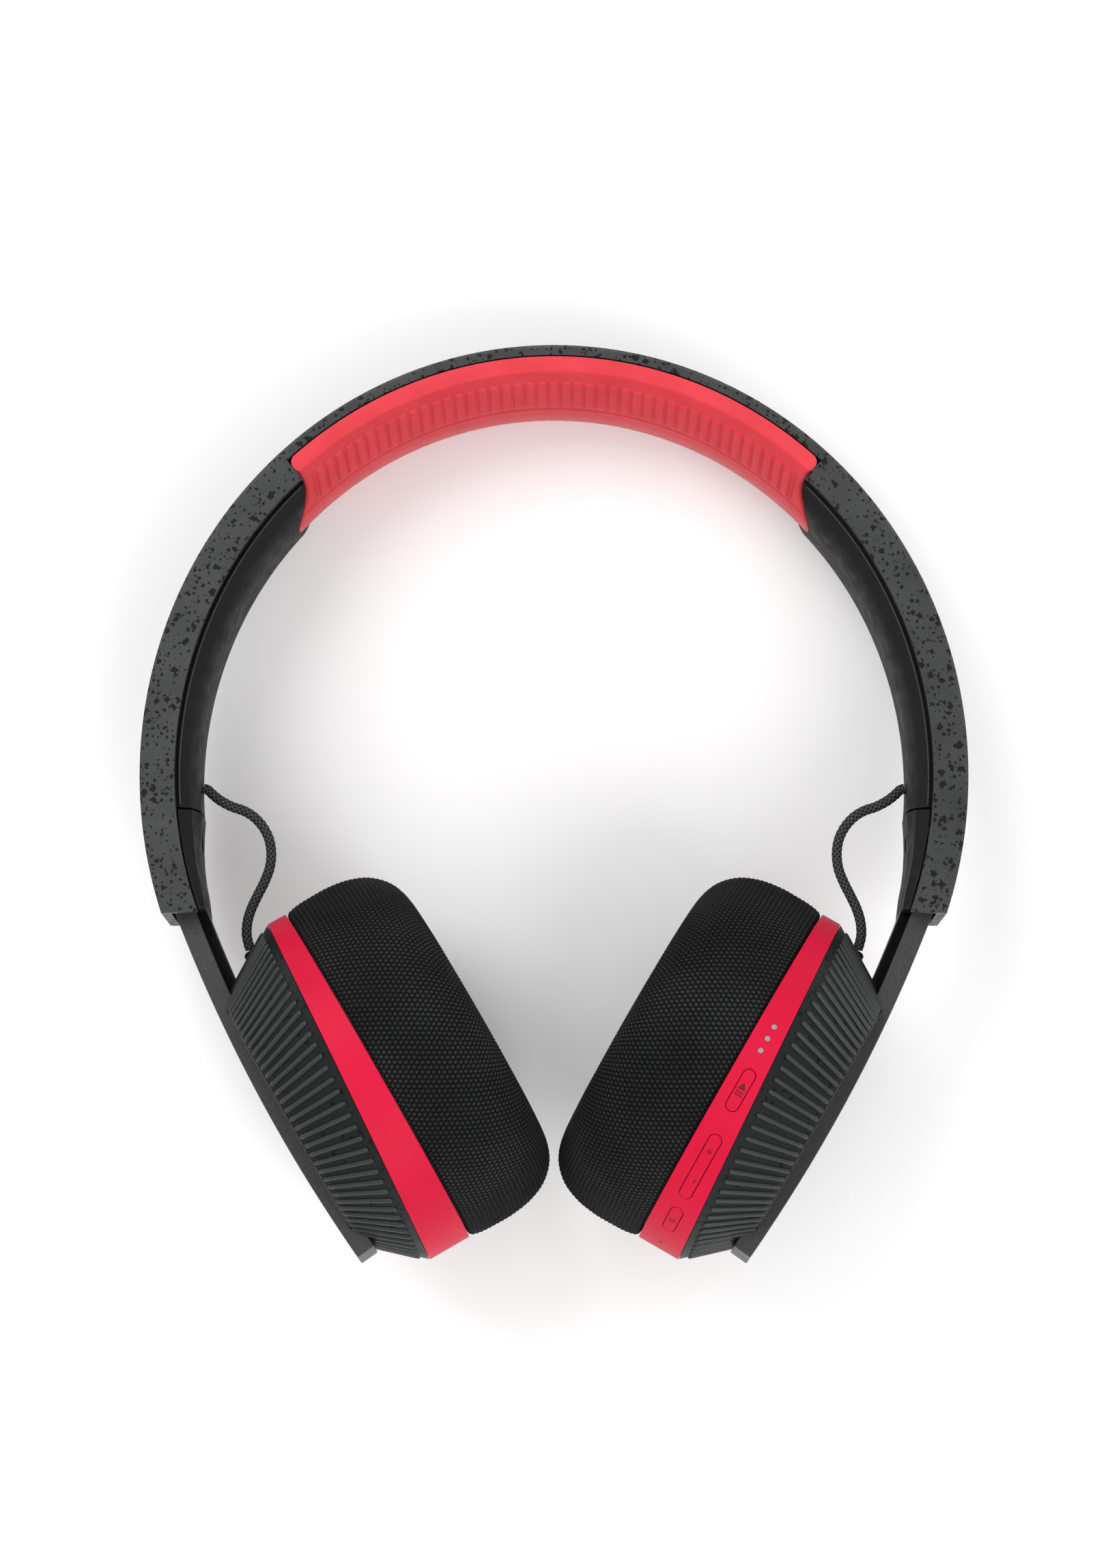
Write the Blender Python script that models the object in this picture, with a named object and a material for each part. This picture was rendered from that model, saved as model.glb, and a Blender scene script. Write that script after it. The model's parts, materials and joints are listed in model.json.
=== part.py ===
"""Wireless over-ear headphones lying on their side: a rigid band with two curved arms, and a cup that
slides along each arm. +X runs from the left cup to the right cup, +Y from the cups to the top of the band,
and +Z is up.

Every piece is drawn in one of two frames. The band frame has its origin at the centre of the band's
ellipse, with the band in its X-Y plane. A cup frame has its origin at the centre of the cup's mouth, with
Z along the cup's axis, away from the ear, and X towards the top of the cup.
"""

import math

import bmesh
import bpy
from mathutils import Matrix, Vector

MM = 0.001

# The band: half an ellipse and a little more, of one section
BAND_SEMI_X = 87.6 * MM
BAND_SEMI_Y = 92.2 * MM
BAND_WIDTH = 34.0 * MM
BAND_DEPTH = 12.2 * MM
FLANGE_DEPTH = 7.4 * MM
FLANGE_UNDER_PAD = 2.3 * MM
BAND_EDGE = 0.7 * MM
FLANGE_THICKNESS = 2.2 * MM
WEB_THICKNESS = 2.0 * MM
SHELL_END = 109.3
SHELL_END_SLANT = 0.2

# The pad on the band
PAD_FLANK_END = 42.0
PAD_END = 47.5
PAD_FLOOR = 9.3 * MM
PAD_FLANK_THICKNESS = 2.0 * MM

# The arms, each an arc about a centre far beyond the other cup
ARM_RADIUS = 338.4 * MM
ARM_THICKNESS = 4.2 * MM
ARM_WIDTH = 22.0 * MM
ARM_TIP = 35.3
ARM_START = 20.6
RAIL_HEIGHT = 2.9 * MM
RAIL_NECK = 10.0 * MM
RAIL_WIDTH = 13.6 * MM
TANG_THICKNESS = 3.0 * MM
TANG_START = 93.0

# The cups
CUP_X = 37.65 * MM
CUP_Y = -63.12 * MM
CUP_TOE = 30.0
ARC_CENTRE_X = -1.0 * MM
ARC_CENTRE_Z = -314.4 * MM
RING_RADIUS = 39.4 * MM
RING_WALL = 2.5 * MM
RING_MIDDLE = 6.94 * MM
RING_TAPER = 2.65 * MM
PLATE_RADIUS = 29.1 * MM
PLATE_HEIGHT = 21.0 * MM
CAVITY_FLOOR = 12.5 * MM
CUSHION_DEPTH = 24.4 * MM
CUSHION_RADIUS = 39.9 * MM
EAR_RADIUS = 20.0 * MM
CARRIAGE_LENGTH = 30.0 * MM

# The controls on the right cup's ring: angle from the cup's top towards the front, height, half length
PLAY = (98.2, 3.9 * MM, 4.75 * MM)
VOLUME = (126.0, 4.4 * MM, 8.6 * MM)
POWER = (150.5, 4.7 * MM, 4.65 * MM)
BUTTON_HALF_WIDTH = 1.3 * MM
LIGHT_ANGLES = (76.5, 80.7, 84.9)
LIGHT_HEIGHT = 3.4 * MM
MICROPHONE_ANGLE = 168.7
PORT_ANGLE = 232.0

# The cords between band and cups
CORD_DIAMETER = 2.2 * MM
CORD_ANGLE = 91.0
CORD_ENTRY = 10.0 * MM
CORD_ROUTE = (
    (75.20, -1.40, 0.0),
    (74.20, -1.75, -0.1),
    (72.90, -2.95, -0.1),
    (71.20, -4.20, -0.2),
    (68.90, -5.35, -0.4),
    (66.50, -6.15, -0.6),
    (64.30, -7.50, -0.8),
    (62.40, -9.60, -1.0),
    (61.10, -12.20, -1.1),
    (60.60, -15.20, -1.1),
    (60.90, -18.40, -1.1),
    (62.00, -21.50, -1.0),
    (63.40, -24.40, -0.8),
    (64.70, -27.30, -0.6),
    (65.50, -30.20, -0.4),
    (65.60, -33.20, -0.1),
    (64.85, -36.15, 0.0),
)

GAP = 0.3 * MM
END_GAP = 0.3
LINER_END = 95.2
SMALL_SIDES = 10

# How the object rests: on the rims of both cushions and on the rear edge of the band's top
REST_Y = CUP_Y + 10.5 * MM * math.sin(math.radians(CUP_TOE))
BAND_REST_Y = BAND_SEMI_Y - BAND_EDGE
REACH = math.hypot(BAND_REST_Y - REST_Y, BAND_WIDTH / 2)
TILT = math.asin(0.9973 * CUSHION_RADIUS / REACH) - math.atan2(BAND_WIDTH / 2, BAND_REST_Y - REST_Y)
BAND_CENTRE_Y = 4.6 * MM
BAND_CENTRE_HEIGHT = BAND_WIDTH / 2 * math.cos(TILT) + BAND_REST_Y * math.sin(TILT)

COLOURS = {
    "speckled_plastic": ((0.052, 0.053, 0.053, 1), 0.55, 0.0),
    "matte_plastic": ((0.016, 0.017, 0.017, 1), 0.7, 0.0),
    "arm_plastic": ((0.07, 0.07, 0.07, 1), 0.5, 0.0),
    "cone_plastic": ((0.022, 0.024, 0.024, 1), 0.5, 0.0),
    "red_plastic": ((0.78, 0.02, 0.06, 1), 0.4, 0.0),
    "red_silicone": ((0.72, 0.05, 0.07, 1), 0.5, 0.0),
    "knit_fabric": ((0.012, 0.012, 0.012, 1), 0.9, 0.0),
    "braid": ((0.015, 0.015, 0.015, 1), 0.8, 0.0),
    "steel": ((0.5, 0.5, 0.5, 1), 0.35, 1.0),
    "inner_plastic": ((0.03, 0.03, 0.03, 1), 0.6, 0.0),
    "nylon": ((0.6, 0.6, 0.57, 1), 0.5, 0.0),
    "light_pipe": ((0.35, 0.36, 0.36, 1), 0.3, 0.0),
    "board": ((0.01, 0.12, 0.05, 1), 0.5, 0.0),
    "rubber": ((0.012, 0.012, 0.012, 1), 0.8, 0.0),
    "film": ((0.75, 0.75, 0.72, 1), 0.4, 0.0),
}


def clear_scene():
    for obj in list(bpy.data.objects):
        bpy.data.objects.remove(obj, do_unlink=True)


def material(name):
    found = bpy.data.materials.get(name)
    if found:
        return found
    colour, roughness, metallic = COLOURS[name]
    made = bpy.data.materials.new(name)
    made.use_nodes = True
    shader = made.node_tree.nodes["Principled BSDF"]
    shader.inputs["Base Color"].default_value = colour
    shader.inputs["Roughness"].default_value = roughness
    shader.inputs["Metallic"].default_value = metallic
    return made


def add_empty(name, parent=None, matrix=None):
    empty = bpy.data.objects.new(name, None)
    bpy.context.collection.objects.link(empty)
    empty.parent = parent
    empty.matrix_local = matrix or Matrix.Identity(4)
    return empty


def add_object(name, bm, parent, finish):
    """Make an object of a bmesh, closed and facing out. A finish of None makes it a cutter."""
    bmesh.ops.remove_doubles(bm, verts=bm.verts, dist=1e-7)
    bmesh.ops.recalc_face_normals(bm, faces=bm.faces)
    mesh = bpy.data.meshes.new(name)
    bm.to_mesh(mesh)
    bm.free()
    mesh.shade_smooth()
    mesh.set_sharp_from_angle(angle=math.radians(35))
    obj = bpy.data.objects.new(name, mesh)
    bpy.context.collection.objects.link(obj)
    obj.parent = parent
    if finish:
        mesh.materials.append(material(finish))
    else:
        obj.hide_render = True
        obj.display_type = "WIRE"
    return obj


def cut(obj, cutter):
    modifier = obj.modifiers.new("cut_" + cutter.name, "BOOLEAN")
    modifier.operation = "DIFFERENCE"
    modifier.solver = "EXACT"
    modifier.object = cutter


def loft(stations, closed=False):
    """A bmesh skinned over loops of points, with flat ends, or joined end to start when closed."""
    bm = bmesh.new()
    loops = [[bm.verts.new(point) for point in station] for station in stations]
    count = len(loops[0])
    pairs = list(zip(loops, loops[1:]))
    if closed:
        pairs.append((loops[-1], loops[0]))
    for first, second in pairs:
        for i in range(count):
            j = (i + 1) % count
            bm.faces.new((first[i], first[j], second[j], second[i]))
    if not closed:
        bm.faces.new(loops[0])
        bm.faces.new(loops[-1])
    return bm


def turned(profile, segments):
    """Turn a profile about Z. It is a function of the angle that gives (radius, height) points, and its
    first and last loops are closed flat."""
    angles = [2 * math.pi * i / segments for i in range(segments)]
    profiles = [profile(angle) for angle in angles]
    stations = []
    for k in range(len(profiles[0])):
        row = [(p[k][0] * math.cos(a), p[k][0] * math.sin(a), p[k][1]) for p, a in zip(profiles, angles)]
        stations.append([Vector(point) for point in row])
    return loft(stations)


def turned_ring(profile, segments):
    """Turn a closed profile about Z, which it doesn't touch."""
    stations = []
    for i in range(segments):
        angle = 2 * math.pi * i / segments
        station = [(r * math.cos(angle), r * math.sin(angle), z) for r, z in profile(angle)]
        stations.append([Vector(point) for point in station])
    return loft(stations, closed=True)


def block(low, high):
    """A bmesh box between two corners."""
    bm = bmesh.new()
    bmesh.ops.create_cube(bm, size=1.0)
    centre = (Vector(low) + Vector(high)) / 2
    size = Vector(high) - Vector(low)
    bmesh.ops.scale(bm, vec=size, verts=bm.verts)
    bmesh.ops.translate(bm, vec=centre, verts=bm.verts)
    return bm


def along(matrix, bm):
    bmesh.ops.transform(bm, matrix=matrix, verts=bm.verts)
    return bm


def axis_matrix(origin, direction):
    """Places a shape turned about Z so that its Z runs along direction from origin."""
    return Matrix.Translation(origin) @ Vector(direction).to_track_quat("Z", "Y").to_matrix().to_4x4()


def rod(radius, bottom, top, sides=SMALL_SIDES):
    return turned(lambda angle: [(radius, bottom), (radius, top)], sides)


# The band

def band_point(angle, depth, z, side=1):
    """A point on the band: degrees from its top, depth inwards from its outer face, and height z."""
    t = math.radians(angle)
    outer = Vector((BAND_SEMI_X * math.sin(t), BAND_SEMI_Y * math.cos(t)))
    inward = -Vector((BAND_SEMI_Y * math.sin(t), BAND_SEMI_X * math.cos(t))).normalized()
    point = outer + inward * depth
    return Vector((side * point.x, point.y, z))


def spread(start, end, count):
    return [start + (end - start) * i / (count - 1) for i in range(count)]


def band_sweep(angles, section):
    """Loft a section, a function of the angle that gives (depth, z) points, along the band.

    An angle may be a function of the depth, for an end that isn't square to the band.
    """
    stations = []
    for angle in angles:
        points = section(angle(BAND_DEPTH) if callable(angle) else angle)
        stations.append([band_point(angle(d) if callable(angle) else angle, d, z) for d, z in points])
    return loft(stations)


def mirrored(angles):
    """The same angles on the other side of the band's top, in order from its end."""
    found = []
    for angle in reversed(angles):
        found.append((lambda depth, a=angle: -a(depth)) if callable(angle) else -angle)
    return found


def shell_end(depth):
    """The shell ends on one flat plane, square to the band's middle line."""
    return SHELL_END + SHELL_END_SLANT * depth / MM


def both_ways(half):
    """A section's points above z = 0, outermost first, and the same below."""
    return half + [(depth, -z) for depth, z in reversed(half)]


def shell_section(angle):
    face = BAND_WIDTH / 2
    edge = BAND_EDGE
    under = face - FLANGE_THICKNESS
    if abs(angle) < PAD_FLANK_END + END_GAP:
        depth = FLANGE_UNDER_PAD
    else:
        depth = FLANGE_DEPTH
    half = [(WEB_THICKNESS, under), (depth, under), (depth, face), (edge, face), (0, face - edge)]
    return both_ways(half)


def make_band_shell(parent):
    change = PAD_FLANK_END + END_GAP
    middle = spread(-change + END_GAP, change - END_GAP, 15)
    sides = spread(change, SHELL_END - 1.5, 14) + [shell_end]
    angles = mirrored(sides) + middle + sides
    shell = add_object("band_shell", band_sweep(angles, shell_section), parent, "speckled_plastic")
    return shell


def liner_section(angle):
    inner = 14.4 * MM
    if abs(angle) < PAD_END + END_GAP:
        half = [(5.7 * MM, 12.7 * MM), (6.4 * MM, 11.3 * MM), (7.9 * MM, 8.3 * MM), (8.9 * MM, 5.6 * MM)]
        half.append((9.4 * MM, 2.4 * MM))
    else:
        shoulder = 15.2 * MM
        half = [(5.7 * MM, inner), (7.7 * MM, inner), (7.7 * MM, shoulder), (10.6 * MM, 12.4 * MM)]
        half.append((BAND_DEPTH, 6.5 * MM))
    return both_ways(half)


def make_band_liner(parent):
    change = PAD_END + END_GAP
    sides = spread(change, LINER_END, 11)
    middle = spread(-change + END_GAP, change - END_GAP, 15)
    angles = mirrored(sides) + middle + sides
    return add_object("band_liner", band_sweep(angles, liner_section), parent, "matte_plastic")


def make_spring_band(parent):
    section = both_ways([(3.0 * MM, 8 * MM), (3.9 * MM, 8 * MM)])
    angles = spread(-88, 88, 23)
    return add_object("spring_band", band_sweep(angles, lambda a: section), parent, "steel")


def make_head_pad(parent):
    """The soft pad, which wraps over both edges of the band and ends in a tongue on each side."""
    face = BAND_WIDTH / 2
    under = face - PAD_FLANK_THICKNESS
    outer = FLANGE_UNDER_PAD + GAP
    half = [
        (9.8 * MM, 2.6 * MM),
        (PAD_FLOOR, 5.8 * MM),
        (7.0 * MM, 10.8 * MM),
        (4.9 * MM, under),
        (outer, under),
        (outer, face - 0.2 * MM),
        (5.8 * MM, face - 0.4 * MM),
        (6.6 * MM, 15.6 * MM),
        (7.2 * MM, 14.4 * MM),
        (8.6 * MM, 11.6 * MM),
        (10.4 * MM, 7.8 * MM),
        (11.6 * MM, 4.6 * MM),
        (BAND_DEPTH, 1.8 * MM),
    ]
    count = 25
    stations = []
    for i in range(count):
        share = 2 * i / (count - 1) - 1
        station = []
        for depth, z in both_ways(half):
            reach = min(1, max(0, (depth - 7.4 * MM) / (PAD_FLOOR - 7.4 * MM)))
            end = PAD_FLANK_END + (PAD_END - END_GAP - PAD_FLANK_END) * reach
            station.append(band_point(share * end, depth, z))
        stations.append(station)
    return add_object("head_pad", loft(stations), parent, "red_silicone")


# The arms

def cup_matrix(side):
    """The cup's place in the band frame: side is 1 for the right cup and -1 for the left."""
    toe = math.radians(CUP_TOE)
    x_axis = Vector((side * math.sin(toe), math.cos(toe), 0))
    z_axis = Vector((side * math.cos(toe), -math.sin(toe), 0))
    y_axis = z_axis.cross(x_axis)
    turn = Matrix((x_axis, y_axis, z_axis)).transposed().to_4x4()
    return Matrix.Translation((side * CUP_X, CUP_Y, 0)) @ turn


def arc_centre(side):
    return cup_matrix(side) @ Vector((ARC_CENTRE_X, 0, ARC_CENTRE_Z))


def arc_point(side, angle, radius, z):
    """A point on an arc about the arm's centre, in the band frame. The angle is below the level."""
    t = math.radians(angle)
    centre = arc_centre(side)
    return Vector((centre.x + side * radius * math.cos(t), centre.y - radius * math.sin(t), z))


def screw_bmesh(head_radius, head_height, shank_radius, shank_length):
    """A cap screw with its head's underside at 0 and its shank down -Z."""
    def profile(angle):
        return [
            (shank_radius, -shank_length),
            (shank_radius, 0),
            (head_radius, 0),
            (head_radius, head_height),
        ]
    return turned(profile, SMALL_SIDES)


def band_axis(angle, depth, side):
    """A matrix whose Z points inwards, square to the band, at a depth on its centre line."""
    here = band_point(angle, depth, 0, side)
    there = band_point(angle, depth + MM, 0, side)
    return axis_matrix(here, there - here)


ARM_SCREW_ANGLES = (96.8, 102.6)
COVER_SCREW_ANGLE = 99.7


def make_arm(side, name, parent):
    half_width = ARM_WIDTH / 2
    stations = []
    for angle in spread(TANG_START, 105.2, 6):
        depth = WEB_THICKNESS + GAP
        points = [(depth, 10 * MM), (depth, -10 * MM)]
        back = depth + TANG_THICKNESS
        points += [(back, -10 * MM), (back, -RAIL_NECK / 2), (back + 0.02 * MM, -RAIL_NECK / 2)]
        points += [(back + 0.02 * MM, RAIL_NECK / 2), (back, RAIL_NECK / 2), (back, 10 * MM)]
        stations.append([band_point(angle, d, z, side) for d, z in points])
    rail_start = 21.75
    angles = [ARM_START + 0.1, rail_start - 0.02] + spread(rail_start, ARM_TIP, 10)
    for angle in angles:
        inner = ARM_RADIUS - ARM_THICKNESS
        if angle < rail_start:
            rail = inner - 0.02 * MM
            wide = RAIL_NECK / 2
        else:
            rail = inner - RAIL_HEIGHT
            wide = RAIL_WIDTH / 2
        points = [(ARM_RADIUS, half_width), (ARM_RADIUS, -half_width), (inner, -half_width)]
        points += [(inner, -RAIL_NECK / 2), (rail, -wide), (rail, wide), (inner, RAIL_NECK / 2)]
        points.append((inner, half_width))
        stations.append([arc_point(side, angle, r, z) for r, z in points])
    arm = add_object(name + "_arm", loft(stations), parent, "arm_plastic")
    for angle in (*ARM_SCREW_ANGLES, COVER_SCREW_ANGLE):
        hole = along(band_axis(angle, 0, side), rod(1.1 * MM, 1.0 * MM, 7.0 * MM))
        cut(arm, add_object(f"{name}_arm_hole_{angle:.0f}", hole, parent, None))
    return arm


def make_arm_screws(side, name, parent, shell):
    for number, angle in enumerate(ARM_SCREW_ANGLES, 1):
        underside = WEB_THICKNESS + TANG_THICKNESS + 2 * GAP
        screw = screw_bmesh(1.7 * MM, 1.2 * MM, 0.75 * MM, underside - 1.0 * MM)
        placed = along(band_axis(angle, underside, side), screw)
        add_object(f"{name}_arm_screw_{number}", placed, parent, "steel")
        hole = along(band_axis(angle, 0, side), rod(1.05 * MM, 0.7 * MM, 3.0 * MM))
        cut(shell, add_object(f"{name}_shell_hole_{number}", hole, parent, None))


def make_end_cover(side, name, parent):
    under = 7.7 * MM
    stations = []
    for angle in spread(95.5, 107.5, 6) + [109.0, 110.3]:
        fall = 2.3 * MM * math.sin(math.pi / 2 * (angle - 95.5) / 14.8)
        fall += 1.1 * MM * (max(0, angle - 107.5) / 2.8) ** 2
        half = [(under, 15.2 * MM), (10.6 * MM - fall / 2, 12.4 * MM), (BAND_DEPTH - fall, 6.5 * MM)]
        stations.append([band_point(angle, d, z, side) for d, z in both_ways(half)])
    cover = add_object(name + "_end_cover", loft(stations), parent, "speckled_plastic")
    axis = band_axis(COVER_SCREW_ANGLE, 0, side)
    bore = along(axis, rod(1.1 * MM, 6 * MM, 11 * MM))
    cut(cover, add_object(name + "_cover_bore", bore, parent, None))
    sink = along(axis, rod(2.0 * MM, 9.3 * MM, 15 * MM))
    cut(cover, add_object(name + "_cover_sink", sink, parent, None))
    screw = screw_bmesh(1.7 * MM, 1.3 * MM, 0.75 * MM, 6.5 * MM)
    placed = along(band_axis(COVER_SCREW_ANGLE, 9.6 * MM, side), screw)
    add_object(name + "_end_cover_screw", placed, parent, "steel")
    return cover


def make_band_gland(side, name, parent, liner):
    def profile(angle):
        return [(2.2 * MM, 8.2 * MM), (2.2 * MM, 11.3 * MM), (1.5 * MM, 11.9 * MM)]
    placed = along(band_axis(CORD_ANGLE, 0, side), turned(profile, 12))
    add_object(name + "_band_cord_gland", placed, parent, "rubber")
    hole = along(band_axis(CORD_ANGLE, 0, side), rod(2.5 * MM, 7.9 * MM, 14 * MM, 12))
    cut(liner, add_object(name + "_gland_hole", hole, parent, None))


def smooth_route(points, count):
    """Points at even spacing along a smooth curve through the route's own points."""
    dense = []
    last = len(points) - 1
    for i in range(last):
        before, start = Vector(points[max(i - 1, 0)]), Vector(points[i])
        end, after = Vector(points[i + 1]), Vector(points[min(i + 2, last)])
        for k in range(8):
            t = k / 8
            first = (end - before) * t * (1 - t) ** 2 / 2
            second = (after - start) * t * t * (t - 1) / 2
            dense.append(start + (end - start) * (3 * t * t - 2 * t ** 3) + first + second)
    dense.append(Vector(points[-1]))
    steps = [(b - a).length for a, b in zip(dense, dense[1:])]
    total = sum(steps)
    found = [dense[0]]
    travelled = 0.0
    for i, step in enumerate(steps):
        while len(found) < count - 1 and travelled + step >= total * len(found) / (count - 1):
            share = (total * len(found) / (count - 1) - travelled) / step
            found.append(dense[i].lerp(dense[i + 1], share))
        travelled += step
    found.append(dense[-1])
    return found


def make_cord(side, name, parent):
    route = [(side * x * MM, y * MM, z * MM) for x, y, z in CORD_ROUTE]
    curve = bpy.data.curves.new(name + "_cord", "CURVE")
    curve.dimensions = "3D"
    curve.bevel_depth = CORD_DIAMETER / 2
    curve.bevel_resolution = 2
    curve.use_fill_caps = True
    points = smooth_route(route, 17)
    spline = curve.splines.new("POLY")
    spline.points.add(len(points) - 1)
    for target, point in zip(spline.points, points):
        target.co = (*point, 1)
    curve.materials.append(material("braid"))
    cord = bpy.data.objects.new(name + "_cord", curve)
    bpy.context.collection.objects.link(cord)
    cord.parent = parent
    return cord


# The cups, all in the cup frame

def ring_height(angle):
    """The height of the trim ring's outer edge, which rises from the top of the cup to its bottom."""
    return RING_MIDDLE - RING_TAPER * math.cos(angle)


def shell_profile(angle):
    seam = ring_height(angle) + GAP
    inner = RING_RADIUS - RING_WALL - GAP
    return [
        (PLATE_RADIUS - 0.7 * MM, PLATE_HEIGHT),
        (PLATE_RADIUS, PLATE_HEIGHT - 0.4 * MM),
        (RING_RADIUS - 0.2 * MM, seam),
        (inner, seam),
        (inner, seam - 1.8 * MM),
        (inner - 1.8 * MM, seam - 1.8 * MM),
        (30.5 * MM, CAVITY_FLOOR),
    ]


def groove(inner_radius, outer_radius, half_width, half_length):
    """A slot that follows the arm's arc past the middle of the cup's back."""
    reach = math.degrees(half_length / ARM_RADIUS)
    stations = []
    for angle in spread(-reach, reach, 9):
        t = math.radians(angle)
        station = []
        section = [(inner_radius, half_width), (outer_radius, half_width)]
        section += [(outer_radius, -half_width), (inner_radius, -half_width)]
        for radius, y in section:
            x = ARC_CENTRE_X + radius * math.sin(t)
            station.append(Vector((x, y, ARC_CENTRE_Z + radius * math.cos(t))))
        stations.append(station)
    return loft(stations)


PLATE_FACE = ARM_RADIUS - ARM_THICKNESS - GAP
RAIL_FACE = PLATE_FACE - RAIL_HEIGHT
CARRIAGE_FACE = RAIL_FACE - 2.2 * MM


def make_outer_shell(name, parent):
    shell = add_object(name + "_outer_shell", turned(shell_profile, 48), parent, "cone_plastic")
    wide = ARM_WIDTH / 2 + 0.35 * MM
    slots = {
        "plate_slot": groove(PLATE_FACE, ARM_RADIUS + 9 * MM, wide, 45 * MM),
        "rail_slot": groove(RAIL_FACE, PLATE_FACE + MM, RAIL_WIDTH / 2 + 0.5 * MM, 45 * MM),
        "carriage_slot": groove(CARRIAGE_FACE - GAP, PLATE_FACE + MM, 10.4 * MM, CARRIAGE_LENGTH / 2 + GAP),
    }
    for slot, bm in slots.items():
        cut(shell, add_object(f"{name}_{slot}", bm, parent, None))
    entry = axis_matrix((0, 0, CORD_ENTRY), (1, 0, 0))
    hole = along(entry, rod(2.25 * MM, 28 * MM, 42 * MM, 12))
    cut(shell, add_object(name + "_cord_hole", hole, parent, None))
    for number, x in enumerate((10.5 * MM, -12.5 * MM), 1):
        hole = along(Matrix.Translation((x, 0, 0)), rod(1.1 * MM, 10 * MM, 15 * MM))
        cut(shell, add_object(f"{name}_carriage_hole_{number}", hole, parent, None))
        screw = screw_bmesh(1.8 * MM, 1.2 * MM, 0.75 * MM, 3.2 * MM)
        under = CAVITY_FLOOR - GAP
        placed = along(Matrix.Translation((x, 0, under)) @ Matrix.Rotation(math.pi, 4, "X"), screw)
        add_object(f"{name}_carriage_screw_{number}", placed, parent, "steel")
    return shell


def make_slide_carriage(name, parent):
    """The block that grips the arm's dovetail rail from inside the cup's back."""
    reach = math.degrees(CARRIAGE_LENGTH / 2 / ARM_RADIUS)
    stations = []
    top = PLATE_FACE
    floor = RAIL_FACE
    for angle in spread(-reach, reach, 7):
        t = math.radians(angle)
        neck = RAIL_NECK / 2 + 0.45 * MM
        tail = RAIL_WIDTH / 2 + 0.45 * MM
        half = [(CARRIAGE_FACE, 10.0 * MM), (top, 10.0 * MM), (top, neck), (floor, tail)]
        station = []
        for radius, y in both_ways(half):
            x = ARC_CENTRE_X + radius * math.sin(t)
            station.append(Vector((x, y, ARC_CENTRE_Z + radius * math.cos(t))))
        stations.append(station)
    carriage = add_object(name + "_slide_carriage", loft(stations), parent, "nylon")
    for number, x in enumerate((10.5 * MM, -12.5 * MM), 1):
        hole = along(Matrix.Translation((x, 0, 0)), rod(1.1 * MM, 10 * MM, 15.8 * MM))
        cut(carriage, add_object(f"{name}_block_hole_{number}", hole, parent, None))
    return carriage


def make_trim_ring(name, parent):
    def profile(angle):
        outer = ring_height(angle)
        inner_radius = RING_RADIUS - RING_WALL
        return [(inner_radius, 0), (RING_RADIUS, 0), (RING_RADIUS, outer), (inner_radius, outer)]
    return add_object(name + "_trim_ring", turned_ring(profile, 72), parent, "red_plastic")


def make_driver(name, parent):
    """The baffle that closes the cup, with the driver behind it."""
    inner = RING_RADIUS - RING_WALL - GAP
    flat = [(17.8 * MM, -0.9 * MM), (inner, -0.9 * MM), (inner, 0.9 * MM), (17.8 * MM, 0.9 * MM)]
    baffle = add_object(name + "_baffle", turned_ring(lambda a: flat, 32), parent, "inner_plastic")
    basket = [(19.6 * MM, 1.2 * MM), (19.6 * MM, 3.2 * MM), (13.2 * MM, 6.4 * MM), (12.2 * MM, 6.4 * MM)]
    basket += [(12.2 * MM, 5.4 * MM), (17.4 * MM, 2.6 * MM), (17.4 * MM, 1.2 * MM)]
    add_object(name + "_driver_basket", turned_ring(lambda a: basket, 24), parent, "inner_plastic")
    add_object(name + "_magnet", rod(13.0 * MM, 6.7 * MM, 10.4 * MM, 24), parent, "steel")
    front = [(4 * MM, 0.5 * MM), (9 * MM, -0.1 * MM), (14 * MM, -0.3 * MM), (17 * MM, 0.6 * MM)]
    rear = [(17 * MM, 1.0 * MM), (14 * MM, 0.2 * MM), (9 * MM, 0.4 * MM), (4 * MM, 1.0 * MM)]
    add_object(name + "_diaphragm", turned(lambda a: front + rear, 24), parent, "film")
    return baffle


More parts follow.
